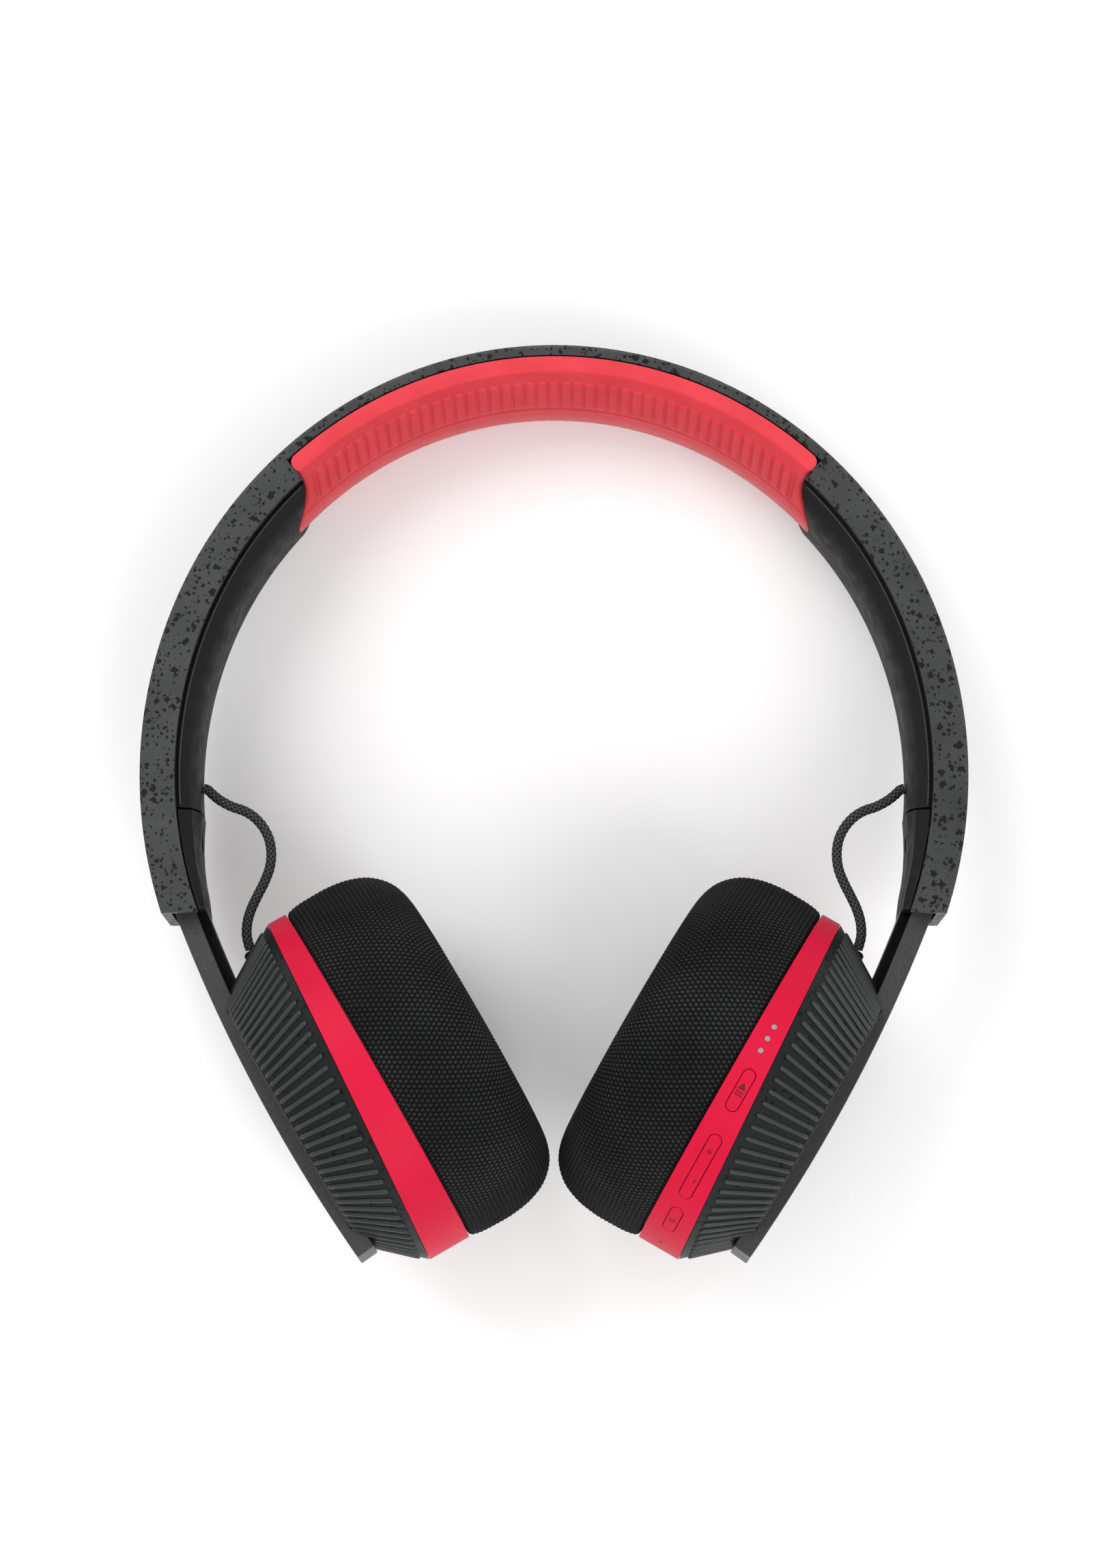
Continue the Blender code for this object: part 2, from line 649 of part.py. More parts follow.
def make_cushion(name, parent, baffle):
    """The ear cushion, its screw-on carrier, and the fabric screen over the driver."""
    carrier_top = -0.9 * MM - GAP
    carrier_bottom = carrier_top - 2.0 * MM
    flat = [(21.5 * MM, carrier_bottom), (35.5 * MM, carrier_bottom)]
    flat += [(35.5 * MM, carrier_top), (21.5 * MM, carrier_top)]
    carrier = turned_ring(lambda a: flat, 32)
    carrier = add_object(name + "_cushion_carrier", carrier, parent, "inner_plastic")
    for number, angle in enumerate((35, 215), 1):
        x = 28 * MM * math.cos(math.radians(angle))
        y = 28 * MM * math.sin(math.radians(angle))
        place = Matrix.Translation((x, y, 0))
        through = along(place, rod(1.05 * MM, -5 * MM, 3 * MM))
        hole = add_object(f"{name}_carrier_hole_{number}", through, parent, None)
        cut(baffle, hole)
        cut(carrier, hole)
        under = place @ Matrix.Translation((0, 0, carrier_bottom - GAP)) @ Matrix.Rotation(math.pi, 4, "X")
        screw = along(under, screw_bmesh(1.7 * MM, 0.8 * MM, 0.75 * MM, 4.0 * MM))
        add_object(f"{name}_carrier_screw_{number}", screw, parent, "steel")
    add_object(name + "_ear_screen", rod(21.1 * MM, -2.2 * MM, carrier_top, 32), parent, "knit_fabric")
    recess = -4.8 * MM
    side = CUSHION_RADIUS
    face = -CUSHION_DEPTH
    profile = [
        (37.2 * MM, -0.4 * MM),
        (39.3 * MM, -0.4 * MM),
        (side, -4.0 * MM),
        (side, -10.5 * MM),
        (39.0 * MM, -15.5 * MM),
        (37.2 * MM, -19.8 * MM),
        (34.0 * MM, -22.9 * MM),
        (28.0 * MM, face),
        (23.4 * MM, -23.2 * MM),
        (20.8 * MM, -20.0 * MM),
        (EAR_RADIUS, -15.0 * MM),
        (EAR_RADIUS, recess),
        (37.2 * MM, recess),
    ]
    add_object(name + "_ear_cushion", turned_ring(lambda a: profile, 32), parent, "knit_fabric")


def make_cup_gland(name, parent):
    place = axis_matrix((0, 0, CORD_ENTRY), (1, 0, 0))
    gland = turned(lambda a: [(1.95 * MM, 33 * MM), (1.95 * MM, 36.2 * MM), (1.5 * MM, 36.6 * MM)], 12)
    add_object(name + "_cup_cord_gland", along(place, gland), parent, "rubber")


# The controls in the right cup's ring

def ring_patch(angle, height, half_length, half_width, inner, outer, rounded=True):
    """A piece of the ring's wall, long round the ring, between two radii, with round ends."""
    if rounded:
        turns = (80, 55, 30, 0)
        ends = [(half_length - half_width * (1 - math.sin(math.radians(t))), math.cos(math.radians(t)))
                for t in turns]
    else:
        ends = [(half_length, 1.0)]
    straight = ends[-1][0]
    middle = [(x, 1.0) for x in spread(-straight, straight, 5)[1:-1]]
    outline = [(-x, share) for x, share in ends] + middle + list(reversed(ends))
    stations = []
    for x, share in outline:
        t = math.radians(angle) + x / RING_RADIUS
        w = half_width * share
        section = [(inner, -w), (outer, -w), (outer, w), (inner, w)]
        stations.append([Vector((r * math.cos(t), r * math.sin(t), height + z)) for r, z in section])
    return loft(stations)


def ring_rod(angle, height, radius, inner, outer, sides=SMALL_SIDES):
    """A rod that runs outwards from the cup's axis through the ring's wall."""
    t = math.radians(angle)
    place = axis_matrix((0, 0, height), (math.cos(t), math.sin(t), 0))
    return along(place, rod(radius, inner, outer, sides))


def pivot_matrix(control):
    """The place on the ring of a control's middle, with X pointing out of the cup."""
    angle, height = math.radians(control[0]), control[1]
    middle = (RING_RADIUS * math.cos(angle), RING_RADIUS * math.sin(angle), height)
    return Matrix.Translation(middle) @ Matrix.Rotation(angle, 4, "Z")


def make_controls(cup, ring):
    inside = RING_RADIUS - RING_WALL + 0.2 * MM
    outside = RING_RADIUS + 0.05 * MM
    controls = {"play_button": PLAY, "volume_rocker": VOLUME, "power_button": POWER}
    for name, control in controls.items():
        angle, height, half_length = control
        window = ring_patch(
            angle, height, half_length + GAP, BUTTON_HALF_WIDTH + GAP, 33 * MM, 44 * MM
        )
        cut(ring, add_object(name + "_window", window, cup, None))
        place = pivot_matrix(control)
        pivot = add_empty(name + "_axis", cup, place)
        button = ring_patch(angle, height, half_length, BUTTON_HALF_WIDTH, inside, outside)
        placed = along(place.inverted(), button)
        add_object(name, placed, pivot, "red_plastic")
        switch_name = name.split("_")[0] + "_switch"
        switch = ring_patch(angle, height, 2.4 * MM, 1.2 * MM, 34.9 * MM, 36.4 * MM, rounded=False)
        add_object(switch_name, switch, cup, "inner_plastic")


def make_lights(cup, ring):
    middle = sum(LIGHT_ANGLES) / len(LIGHT_ANGLES)
    base = ring_patch(middle, LIGHT_HEIGHT, 4.2 * MM, 1.1 * MM, 34.7 * MM, 36.4 * MM, rounded=False)
    pipe = add_object("light_pipe", base, cup, "light_pipe")
    for number, angle in enumerate(LIGHT_ANGLES, 1):
        prong = ring_rod(angle, LIGHT_HEIGHT, 0.55 * MM, 35.5 * MM, RING_RADIUS + 0.03 * MM, 8)
        prong = add_object(f"light_prong_{number}", prong, cup, None)
        joined = pipe.modifiers.new("join_prong", "BOOLEAN")
        joined.operation = "UNION"
        joined.solver = "EXACT"
        joined.object = prong
        hole = ring_rod(angle, LIGHT_HEIGHT, 0.85 * MM, 33 * MM, 44 * MM, 8)
        cut(ring, add_object(f"light_hole_{number}", hole, cup, None))


def make_electronics(cup, ring):
    board = block((-12 * MM, 21.5 * MM, 4.0 * MM), (12 * MM, 31 * MM, 5.2 * MM))
    add_object("circuit_board", board, cup, "board")
    height = 4.7 * MM
    hole = ring_rod(MICROPHONE_ANGLE, height, 0.5 * MM, 33 * MM, 44 * MM, 8)
    cut(ring, add_object("microphone_hole", hole, cup, None))
    capsule = ring_rod(MICROPHONE_ANGLE, height, 1.4 * MM, 34.9 * MM, 36.5 * MM)
    add_object("microphone", capsule, cup, "steel")
    window = ring_patch(PORT_ANGLE, height, 4.8 * MM, 1.9 * MM, 33 * MM, 44 * MM)
    cut(ring, add_object("port_window", window, cup, None))
    port = ring_patch(PORT_ANGLE, height, 4.4 * MM, 1.5 * MM, 35 * MM, 39 * MM)
    port = add_object("charging_port", port, cup, "steel")
    slot = ring_patch(PORT_ANGLE, height, 3.6 * MM, 0.7 * MM, 36 * MM, 44 * MM)
    cut(port, add_object("port_slot", slot, cup, None))


def make_cup(side, name, headset):
    pivot = add_empty(name + "_slide_axis", headset, Matrix.Translation(arc_centre(side)))
    cup = add_empty(name + "_cup_frame", pivot, Matrix.Translation(-arc_centre(side)) @ cup_matrix(side))
    make_outer_shell(name, cup)
    make_slide_carriage(name, cup)
    ring = make_trim_ring(name, cup)
    baffle = make_driver(name, cup)
    make_cushion(name, cup, baffle)
    make_cup_gland(name, cup)
    return cup, ring


def make_headband(headset):
    shell = make_band_shell(headset)
    liner = make_band_liner(headset)
    make_spring_band(headset)
    make_head_pad(headset)
    for side, name in ((-1, "left"), (1, "right")):
        make_arm(side, name, headset)
        make_arm_screws(side, name, headset, shell)
        make_end_cover(side, name, headset)
        make_band_gland(side, name, headset, liner)
        make_cord(side, name, headset)


def main():
    clear_scene()
    place = Matrix.Translation((0, BAND_CENTRE_Y, BAND_CENTRE_HEIGHT)) @ Matrix.Rotation(-TILT, 4, "X")
    headset = add_empty("headset", None, place)
    make_headband(headset)
    left, _ = make_cup(-1, "left", headset)
    battery = block((-12 * MM, 21.5 * MM, 2 * MM), (12 * MM, 29 * MM, 7 * MM))
    add_object("battery", battery, left, "inner_plastic")
    right, ring = make_cup(1, "right", headset)
    make_controls(right, ring)
    make_lights(right, ring)
    make_electronics(right, ring)


main()
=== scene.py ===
"""The look of a pair of over-ear headphones that lie on their side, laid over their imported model.

Every piece is drawn in the band's frame or in a cup's frame and then put in place. The band's frame has its
origin at the centre of the band's ellipse, X to the right, Y to the top of the band, and the band in its
X-Y plane. A cup's frame has its origin at the centre of the cup's mouth, Z along the cup's axis, away from
the ear, and X towards the top of the cup.
"""

import json
import math

import bmesh
import bpy
import numpy as np
from bpy.props import FloatProperty, FloatVectorProperty, IntProperty, PointerProperty
from mathutils import Matrix, Vector


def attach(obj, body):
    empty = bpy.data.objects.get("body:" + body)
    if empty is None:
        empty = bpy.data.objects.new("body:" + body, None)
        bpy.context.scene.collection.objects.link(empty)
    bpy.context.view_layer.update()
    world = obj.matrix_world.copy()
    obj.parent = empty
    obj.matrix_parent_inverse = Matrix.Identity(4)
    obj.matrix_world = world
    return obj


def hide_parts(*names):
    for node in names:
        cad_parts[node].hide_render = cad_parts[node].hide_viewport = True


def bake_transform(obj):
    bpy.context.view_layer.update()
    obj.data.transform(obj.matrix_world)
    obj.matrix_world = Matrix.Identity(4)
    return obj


bl_info = {
    "name": "Over-ear headphones",
    "version": (1, 0, 0),
    "blender": (4, 5, 0),
    "location": "View3D > Sidebar > Headphones",
    "description": "Builds the look of a pair of wireless headphones over their packed model",
    "category": "Object",
}

MM = 0.001
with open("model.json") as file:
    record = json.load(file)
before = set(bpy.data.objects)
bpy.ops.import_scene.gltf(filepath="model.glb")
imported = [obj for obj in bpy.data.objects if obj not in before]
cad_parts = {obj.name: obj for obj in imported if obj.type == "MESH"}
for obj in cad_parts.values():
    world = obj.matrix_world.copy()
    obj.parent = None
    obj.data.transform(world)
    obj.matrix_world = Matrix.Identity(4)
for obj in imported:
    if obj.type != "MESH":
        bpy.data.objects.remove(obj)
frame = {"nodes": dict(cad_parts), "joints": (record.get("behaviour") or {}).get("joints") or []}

# The band
BAND_SEMI_X = 87.6 * MM
BAND_SEMI_Y = 92.2 * MM
BAND_HALF_WIDTH = 17.0 * MM
FLANGE_DEPTH = 7.4 * MM
FLANGE_UNDER_PAD = 2.3 * MM
SHELL_END = 109.3
PAD_FLANK_END = 42.0
PAD_END = 47.0
LINER_END = 95.2
# How far the pad's inner face is from the middle of its curve, in millimetres
PAD_RADIUS = 80.5

# The cups and their arms
CUP_TOE = 30.0
CUP_X = 37.65 * MM
CUP_Y = -63.12 * MM
ARC_CENTRE = Vector((-1.0 * MM, 0, -314.4 * MM))
ARM_RADIUS = 338.4 * MM
ARM_THICKNESS = 4.2 * MM
ARM_HALF_WIDTH = 11.0 * MM
RAIL_HEIGHT = 2.2 * MM
RAIL_SLOT_DEPTH = 2.9 * MM
RING_RADIUS = 39.4 * MM
RING_WALL = 2.5 * MM
RING_MIDDLE = 6.94 * MM
RING_TAPER = 2.65 * MM
PLATE_RADIUS = 29.1 * MM
PLATE_HEIGHT = 21.0 * MM

# The controls on the right cup's rim: angle from the cup's top towards the front, height, half length
PLAY = (98.2, 3.9 * MM, 4.75 * MM)
VOLUME = (126.0, 4.4 * MM, 8.6 * MM)
POWER = (150.5, 4.7 * MM, 4.65 * MM)
BUTTON_HALF_WIDTH = 1.3 * MM
OUTLINE = 0.17 * MM

# The status lights and the microphone's hole: angle and height on the right rim, and radius
STATUS_LIGHTS = (76.5, 80.7, 84.9)
STATUS_HEIGHT = 3.4 * MM
STATUS_RADIUS = 0.56 * MM
MICROPHONE = (168.7, 4.7 * MM)
MICROPHONE_RADIUS = 0.3 * MM

# The braid of the cords
STRANDS = 6
BRAID_PITCH = 1.15 * MM

# A cushion's cover: frames of its filling, and how far a point may sink and swell
FILL_FRAMES = 16
MOST_SUNK = 0.4 * MM
MOST_SWOLLEN = 0.45 * MM

# The cords' route on the right, in the band's frame
CORD_ROUTE = (
    (75.20, -1.40, 0.0),
    (74.20, -1.75, -0.1),
    (72.90, -2.95, -0.1),
    (71.20, -4.20, -0.2),
    (68.90, -5.35, -0.4),
    (66.50, -6.15, -0.6),
    (64.30, -7.50, -0.8),
    (62.40, -9.60, -1.0),
    (61.10, -12.20, -1.1),
    (60.60, -15.20, -1.1),
    (60.90, -18.40, -1.1),
    (62.00, -21.50, -1.0),
    (63.40, -24.40, -0.8),
    (64.70, -27.30, -0.6),
    (65.50, -30.20, -0.4),
    (65.60, -33.20, -0.1),
    (64.85, -36.15, 0.0),
)


# Frames

def cup_in_band(side):
    """The cup's place in the band's frame: side is 1 for the right cup and -1 for the left."""
    toe = math.radians(CUP_TOE)
    x_axis = Vector((side * math.sin(toe), math.cos(toe), 0))
    z_axis = Vector((side * math.cos(toe), -math.sin(toe), 0))
    turn = Matrix((x_axis, z_axis.cross(x_axis), z_axis)).transposed().to_4x4()
    return Matrix.Translation((side * CUP_X, CUP_Y, 0)) @ turn


def band_in_world():
    """The band's place, from the axis about which the right cup slides."""
    slide = next(joint for joint in frame["joints"] if joint["name"] == "right_slide")
    axis = Vector(slide["axis"]).normalized()
    turn = Matrix.Rotation(-math.atan2(axis.y, axis.z), 4, "X")
    centre = cup_in_band(1) @ ARC_CENTRE
    return Matrix.Translation(Vector(slide["pos_m"]) - turn @ centre) @ turn


BAND = band_in_world()
CUPS = {1: BAND @ cup_in_band(1), -1: BAND @ cup_in_band(-1)}
SIDES = ((1, "right"), (-1, "left"))


# Meshes

def finished(name, mesh, materials, body, replaced=(), angle=35):
    """An object of a mesh, with its normals facing out, that rides on a body."""
    bm = bmesh.new()
    bm.from_mesh(mesh)
    bmesh.ops.recalc_face_normals(bm, faces=bm.faces)
    bm.to_mesh(mesh)
    bm.free()
    mesh.shade_smooth()
    mesh.set_sharp_from_angle(angle=math.radians(angle))
    obj = bpy.data.objects.new(name, mesh)
    bpy.context.collection.objects.link(obj)
    for material in materials:
        mesh.materials.append(material)
    if body:
        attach(obj, body)
    if replaced:
        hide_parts(*replaced)
    return obj


def surface(name, points, matrix, wrap_rows=False, wrap_columns=True, caps=True, uv=None):
    """A mesh over a grid of points. uv gives each grid corner's place, wrapped corners included."""
    points = np.asarray(points, float)
    rows, columns = points.shape[:2]
    turn = np.array(matrix)
    flat = points.reshape(-1, 3) @ turn[:3, :3].T + turn[:3, 3]
    r = np.arange(rows if wrap_rows else rows - 1)
    c = np.arange(columns if wrap_columns else columns - 1)
    r, c = [grid.reshape(-1) for grid in np.meshgrid(r, c, indexing="ij")]
    corners = [(r, c), (r, c + 1), (r + 1, c + 1), (r + 1, c)]
    quads = np.stack([(a % rows) * columns + b % columns for a, b in corners], axis=1)
    faces = quads.tolist()
    if caps and not wrap_rows:
        faces.append(list(range(columns)))
        faces.append(list(range((rows - 1) * columns, rows * columns)))
    mesh = bpy.data.meshes.new(name)
    mesh.from_pydata(flat.tolist(), [], faces)
    if uv is not None:
        layer = mesh.uv_layers.new(name="UVMap")
        places = np.stack([uv[a, b] for a, b in corners], axis=1).reshape(-1, 2)
        whole = np.zeros((len(mesh.loops), 2))
        whole[: len(places)] = places
        layer.data.foreach_set("uv", whole.reshape(-1))
    return mesh


def merged(name, meshes):
    """One mesh of several, each with its number as its material slot."""
    bm = bmesh.new()
    for number, mesh in enumerate(meshes):
        start = len(bm.faces)
        bm.from_mesh(mesh)
        bm.faces.ensure_lookup_table()
        for face in bm.faces[start:]:
            face.material_index = number
    whole = bpy.data.meshes.new(name)
    bm.to_mesh(whole)
    bm.free()
    return whole


def bevelled(obj, width, segments=3):
    modifier = obj.modifiers.new("edges", "BEVEL")
    modifier.width = width
    modifier.segments = segments
    modifier.limit_method = "ANGLE"
    modifier.angle_limit = math.radians(32)
    modifier.harden_normals = True
    return obj


def cut(obj, mesh):
    """Cut a mesh out of an object for good."""
    cutter = finished("cutter", mesh, (), None)
    modifier = obj.modifiers.new("cut", "BOOLEAN")
    modifier.object = cutter
    modifier.solver = "EXACT"
    bpy.context.view_layer.update()
    graph = bpy.context.evaluated_depsgraph_get()
    whole = bpy.data.meshes.new_from_object(obj.evaluated_get(graph))
    obj.modifiers.remove(modifier)
    obj.data = whole
    whole.shade_smooth()
    whole.set_sharp_from_angle(angle=math.radians(35))
    bpy.data.objects.remove(cutter)


def both_ways(half):
    """A section's points above z = 0, outermost first, and the same below."""
    return half + [(depth, -z) for depth, z in reversed(half)]


def smooth_line(points, count, closed=False):
    """Points at even spacing along a smooth curve through some points, as an array."""
    points = np.asarray(points, float)
    total = len(points)
    spans = total if closed else total - 1
    dense = []
    for i in range(spans):
        index = [(i + k) % total if closed else min(max(i + k, 0), total - 1) for k in (-1, 0, 1, 2)]
        before, start, end, after = points[index]
        t = np.linspace(0, 1, 24, endpoint=False)[:, None]
        bend = (end - before) * t * (1 - t) ** 2 / 2 + (after - start) * t * t * (t - 1) / 2
        dense.append(start + (end - start) * (3 * t * t - 2 * t ** 3) + bend)
    dense = np.concatenate(dense + [points[:1] if closed else points[-1:]])
    reach = np.concatenate([[0], np.cumsum(np.linalg.norm(np.diff(dense, axis=0), axis=1))])
    places = np.linspace(0, reach[-1], count)
    return np.stack([np.interp(places, reach, dense[:, k]) for k in range(dense.shape[1])], axis=1)


def resampled(points, count, closed=False):
    """Points at even spacing along straight runs between some points."""
    points = np.asarray(points, float)
    if closed:
        points = np.concatenate([points, points[:1]])
    reach = np.concatenate([[0], np.cumsum(np.linalg.norm(np.diff(points, axis=0), axis=1))])
    places = np.linspace(0, reach[-1], count + 1)[:-1] if closed else np.linspace(0, reach[-1], count)
    return np.stack([np.interp(places, reach, points[:, k]) for k in range(points.shape[1])], axis=1)


def band_points(angles, depths, heights, side=1):
    """Points on the band: degrees from its top, depth inwards from its outer face, and height."""
    t = np.radians(angles)
    outer = np.stack([BAND_SEMI_X * np.sin(t), BAND_SEMI_Y * np.cos(t)], axis=-1)
    inward = -np.stack([BAND_SEMI_Y * np.sin(t), BAND_SEMI_X * np.cos(t)], axis=-1)
    inward /= np.linalg.norm(inward, axis=-1, keepdims=True)
    flat = outer + inward * np.asarray(depths)[..., None]
    return np.stack([side * flat[..., 0], flat[..., 1], np.broadcast_to(heights, t.shape)], axis=-1)


def band_sweep(name, angles, section, side=1):
    """A section of (depth, z) points swept along the band."""
    points = np.array(section)
    turned = np.repeat(np.asarray(angles)[:, None], len(points), axis=1)
    return surface(name, band_points(turned, points[:, 0], points[:, 1], side), BAND)


def arc_row(radii_and_z, angle, side):
    """Points on an arm's arc, in the band's frame. The angle is below the level."""
    centre = cup_in_band(side) @ ARC_CENTRE
    t = math.radians(angle)
    row = []
    for radius, z in radii_and_z:
        row.append((centre.x + side * radius * math.cos(t), centre.y - radius * math.sin(t), z))
    return row


def ring_height(angle):
    """The height of the rim's outer edge, which rises from the top of the cup to its bottom."""
    return RING_MIDDLE - RING_TAPER * np.cos(angle)


def turned_rows(profile, segments):
    """Rows round a cup's axis, of a profile that is a function of the angle."""
    rows = []
    for angle in np.linspace(0, 2 * math.pi, segments, endpoint=False):
        points = np.array(profile(angle))
        x = points[:, 0] * math.cos(angle)
        y = points[:, 0] * math.sin(angle)
        rows.append(np.stack([x, y, points[:, 1]], axis=1))
    return rows


def ring_patch(name, control, grow, inner, outer, cup):
    """A pill-shaped piece of the rim's wall, long round the rim, between two radii."""
    angle, height, half_length = control
    reach = half_length + grow
    half = BUTTON_HALF_WIDTH + grow
    turns = np.radians(np.linspace(0, 90, 9))[::-1]
    ends = [(reach - half * (1 - math.sin(t)), math.cos(t)) for t in turns[1:]]
    ends.insert(0, (reach - half * 0.002, 0.06))
    straight = ends[-1][0]
    middle = [(x, 1.0) for x in np.linspace(-straight, straight, 13)[1:-1]]
    outline = [(-x, share) for x, share in ends] + middle + list(reversed(ends))
    rows = []
    for x, share in outline:
        t = math.radians(angle) + x / RING_RADIUS
        w = half * share
        section = [(inner, -w), (outer, -w), (outer, w), (inner, w)]
        rows.append([(r * math.cos(t), r * math.sin(t), height + z) for r, z in section])
    return surface(name, rows, cup)


def ring_mark(shapes, angle, height, cup, name="mark"):
    """Flat marks on the rim: each shape is a list of corners, along the rim and up it, in metres."""
    mesh = bpy.data.meshes.new(name)
    points = []
    faces = []
    for shape in shapes:
        start = len(points)
        for lift in (0.02 * MM, 0.075 * MM):
            for x, z in shape:
                t = math.radians(angle) + x / RING_RADIUS
                radius = RING_RADIUS + lift
                points.append(cup @ Vector((radius * math.cos(t), radius * math.sin(t), height + z)))
        n = len(shape)
        faces.append([start + i for i in range(n)])
        faces.append([start + n + i for i in range(n)])
        for i in range(n):
            j = (i + 1) % n
            faces.append([start + i, start + j, start + n + j, start + n + i])
    mesh.from_pydata(points, [], faces)
    return mesh


# Materials

LOOKS = {}


class Graph:
    """A material's nodes, with its Principled BSDF as shader."""

    def __init__(self, name, colour, roughness, **sockets):
        self.material = bpy.data.materials.new(name)
        LOOKS[name] = self.material
        self.material.use_nodes = True
        self.tree = self.material.node_tree
        self.shader = self.tree.nodes["Principled BSDF"]
        self.shader.inputs["Base Color"].default_value = (*colour, 1)
        self.shader.inputs["Roughness"].default_value = roughness
        for socket, value in sockets.items():
            self.shader.inputs[socket.replace("_", " ")].default_value = value

    def add(self, kind, inputs=(), **settings):
        node = self.tree.nodes.new("ShaderNode" + kind)
        for key, value in settings.items():
            setattr(node, key, value)
        for socket, value in dict(inputs).items():
            self.feed(node.inputs[socket], value)
        return node

    def feed(self, socket, value):
        if isinstance(value, bpy.types.NodeSocket):
            self.tree.links.new(value, socket)
        else:
            socket.default_value = value

    def maths(self, operation, a, b=0.0, clamp=False):
        return self.add("Math", {0: a, 1: b}, operation=operation, use_clamp=clamp).outputs[0]

    def coords(self, which="Object"):
        return self.add("TexCoord").outputs[which]

    def noise(self, scale, detail=2.0, vector=None):
        inputs = {"Vector": vector or self.coords(), "Scale": scale, "Detail": detail}
        return self.add("TexNoise", inputs).outputs["Fac"]

    def steps(self, value, low, high, to_low=0.0, to_high=1.0):
        inputs = {"Value": value, "From Min": low, "From Max": high, "To Min": to_low, "To Max": to_high}
        return self.add("MapRange", inputs).outputs["Result"]

    def mix(self, share, first, second):
        node = self.add("Mix", data_type="RGBA")
        self.feed(node.inputs[0], share)
        for socket, value in ((node.inputs[6], first), (node.inputs[7], second)):
            self.feed(socket, value if isinstance(value, bpy.types.NodeSocket) else (*value, 1))
        return node.outputs[2]

    def paint(self, value):
        self.feed(self.shader.inputs["Base Color"], value)

    def rough(self, value):
        self.feed(self.shader.inputs["Roughness"], value)

    def bump(self, height, distance, strength=1.0):
        before = self.shader.inputs["Normal"]
        inputs = {"Height": height, "Distance": distance, "Strength": strength}
        if before.is_linked:
            inputs["Normal"] = before.links[0].from_socket
        self.feed(before, self.add("Bump", inputs).outputs["Normal"])


def flecks(graph, scale, kept, size, seed):
    """1 inside angular flecks and 0 outside. kept is the share of the cells that hold one."""
    shift = graph.add("VectorMath", {0: graph.coords(), 1: (seed, seed * 0.7, 0)}, operation="ADD")
    wobble = graph.add("TexNoise", {"Vector": shift.outputs[0], "Scale": scale * 1.7, "Detail": 1.0})
    amount = graph.add("VectorMath", {0: wobble.outputs["Color"], 3: 0.6 / scale}, operation="SCALE")
    moved = graph.add("VectorMath", {0: shift.outputs[0], 1: amount.outputs[0]}, operation="ADD")
    cells = graph.add("TexVoronoi", {"Vector": moved.outputs[0], "Scale": scale}, distance="MANHATTAN")
    picked = graph.add("SeparateColor", {0: cells.outputs["Color"]}).outputs[0]
    limit = graph.steps(picked, 0.0, kept, size, size * 0.35)
    inside = graph.maths("LESS_THAN", cells.outputs["Distance"], limit)
    return graph.maths("MULTIPLY", inside, graph.maths("LESS_THAN", picked, kept))


def speckled_plastic():
    graph = Graph("speckled_plastic", (0.036, 0.037, 0.037), 0.5, Specular_IOR_Level=0.25)
    large = flecks(graph, 500, 0.8, 0.58, 0.0)
    small = flecks(graph, 950, 0.75, 0.58, 0.31)
    both = graph.maths("MAXIMUM", large, small)
    tone = graph.steps(graph.noise(90, 3), 0.3, 0.7)
    ground = graph.mix(tone, (0.024, 0.0248, 0.0248), (0.038, 0.0388, 0.0388))
    graph.paint(graph.mix(both, ground, (0.001, 0.001, 0.001)))
    graph.rough(graph.steps(both, 0, 1, 0.46, 0.7))
    graph.bump(both, -0.00009, 0.9)
    graph.bump(graph.noise(5200, 2), 0.00003, 0.35)
    return graph.material


def liner_plastic():
    graph = Graph("liner_plastic", (0.0075, 0.0075, 0.0075), 0.6, Specular_IOR_Level=0.15)
    spots = flecks(graph, 900, 0.16, 0.4, 0.13)
    graph.paint(graph.mix(spots, (0.0075, 0.0078, 0.0078), (0.002, 0.002, 0.002)))
    graph.rough(graph.steps(graph.noise(300, 3), 0.3, 0.7, 0.5, 0.68))
    graph.bump(graph.noise(2600, 3), 0.00005, 0.5)
    return graph.material


def arm_plastic():
    graph = Graph("arm_plastic", (0.045, 0.045, 0.045), 0.48, Specular_IOR_Level=0.3)
    grain = graph.noise(3600, 3)
    graph.paint(graph.mix(graph.steps(grain, 0.35, 0.7), (0.02, 0.02, 0.02), (0.045, 0.045, 0.045)))
    graph.rough(graph.steps(graph.noise(160, 2), 0.3, 0.7, 0.4, 0.55))
    graph.bump(grain, 0.00005, 0.5)
    return graph.material


def rail_painted_shade():
    # Darker than the arm's plate: painted shade on the rail, whose slopes lie in shade under the plate
    graph = Graph("rail_painted_shade", (0.012, 0.012, 0.012), 0.45, Specular_IOR_Level=0.2)
    graph.rough(graph.steps(graph.noise(700, 3), 0.3, 0.7, 0.34, 0.55))
    graph.bump(graph.noise(3000, 2), 0.00003, 0.4)
    return graph.material


def cone_plastic():
    graph = Graph("cone_plastic", (0.01, 0.011, 0.011), 0.55, Specular_IOR_Level=0.15)
    large = flecks(graph, 520, 0.5, 0.5, 0.47)
    small = flecks(graph, 1150, 0.5, 0.45, 0.83)
    both = graph.maths("MAXIMUM", large, small)
    graph.paint(graph.mix(both, (0.0065, 0.0073, 0.0073), (0.0008, 0.001, 0.001)))
    graph.rough(graph.steps(both, 0, 1, 0.5, 0.66))
    graph.bump(both, -0.00008, 0.8)
    graph.bump(graph.noise(4200, 2), 0.00003, 0.4)
    return graph.material


def rib_painted_highlight():
    # Lighter than the cone's ground between the ribs: a painted highlight on the ribs
    graph = Graph("rib_painted_highlight", (0.015, 0.0163, 0.0163), 0.38, Specular_IOR_Level=0.4)
    graph.rough(graph.steps(graph.noise(900, 3), 0.3, 0.7, 0.34, 0.48))
    graph.bump(graph.noise(3800, 2), 0.00003, 0.35)
    return graph.material


def deepened(colour, shares):
    """A colour's darker tone: each channel times its own share."""
    return tuple(value * share for value, share in zip(colour, shares))


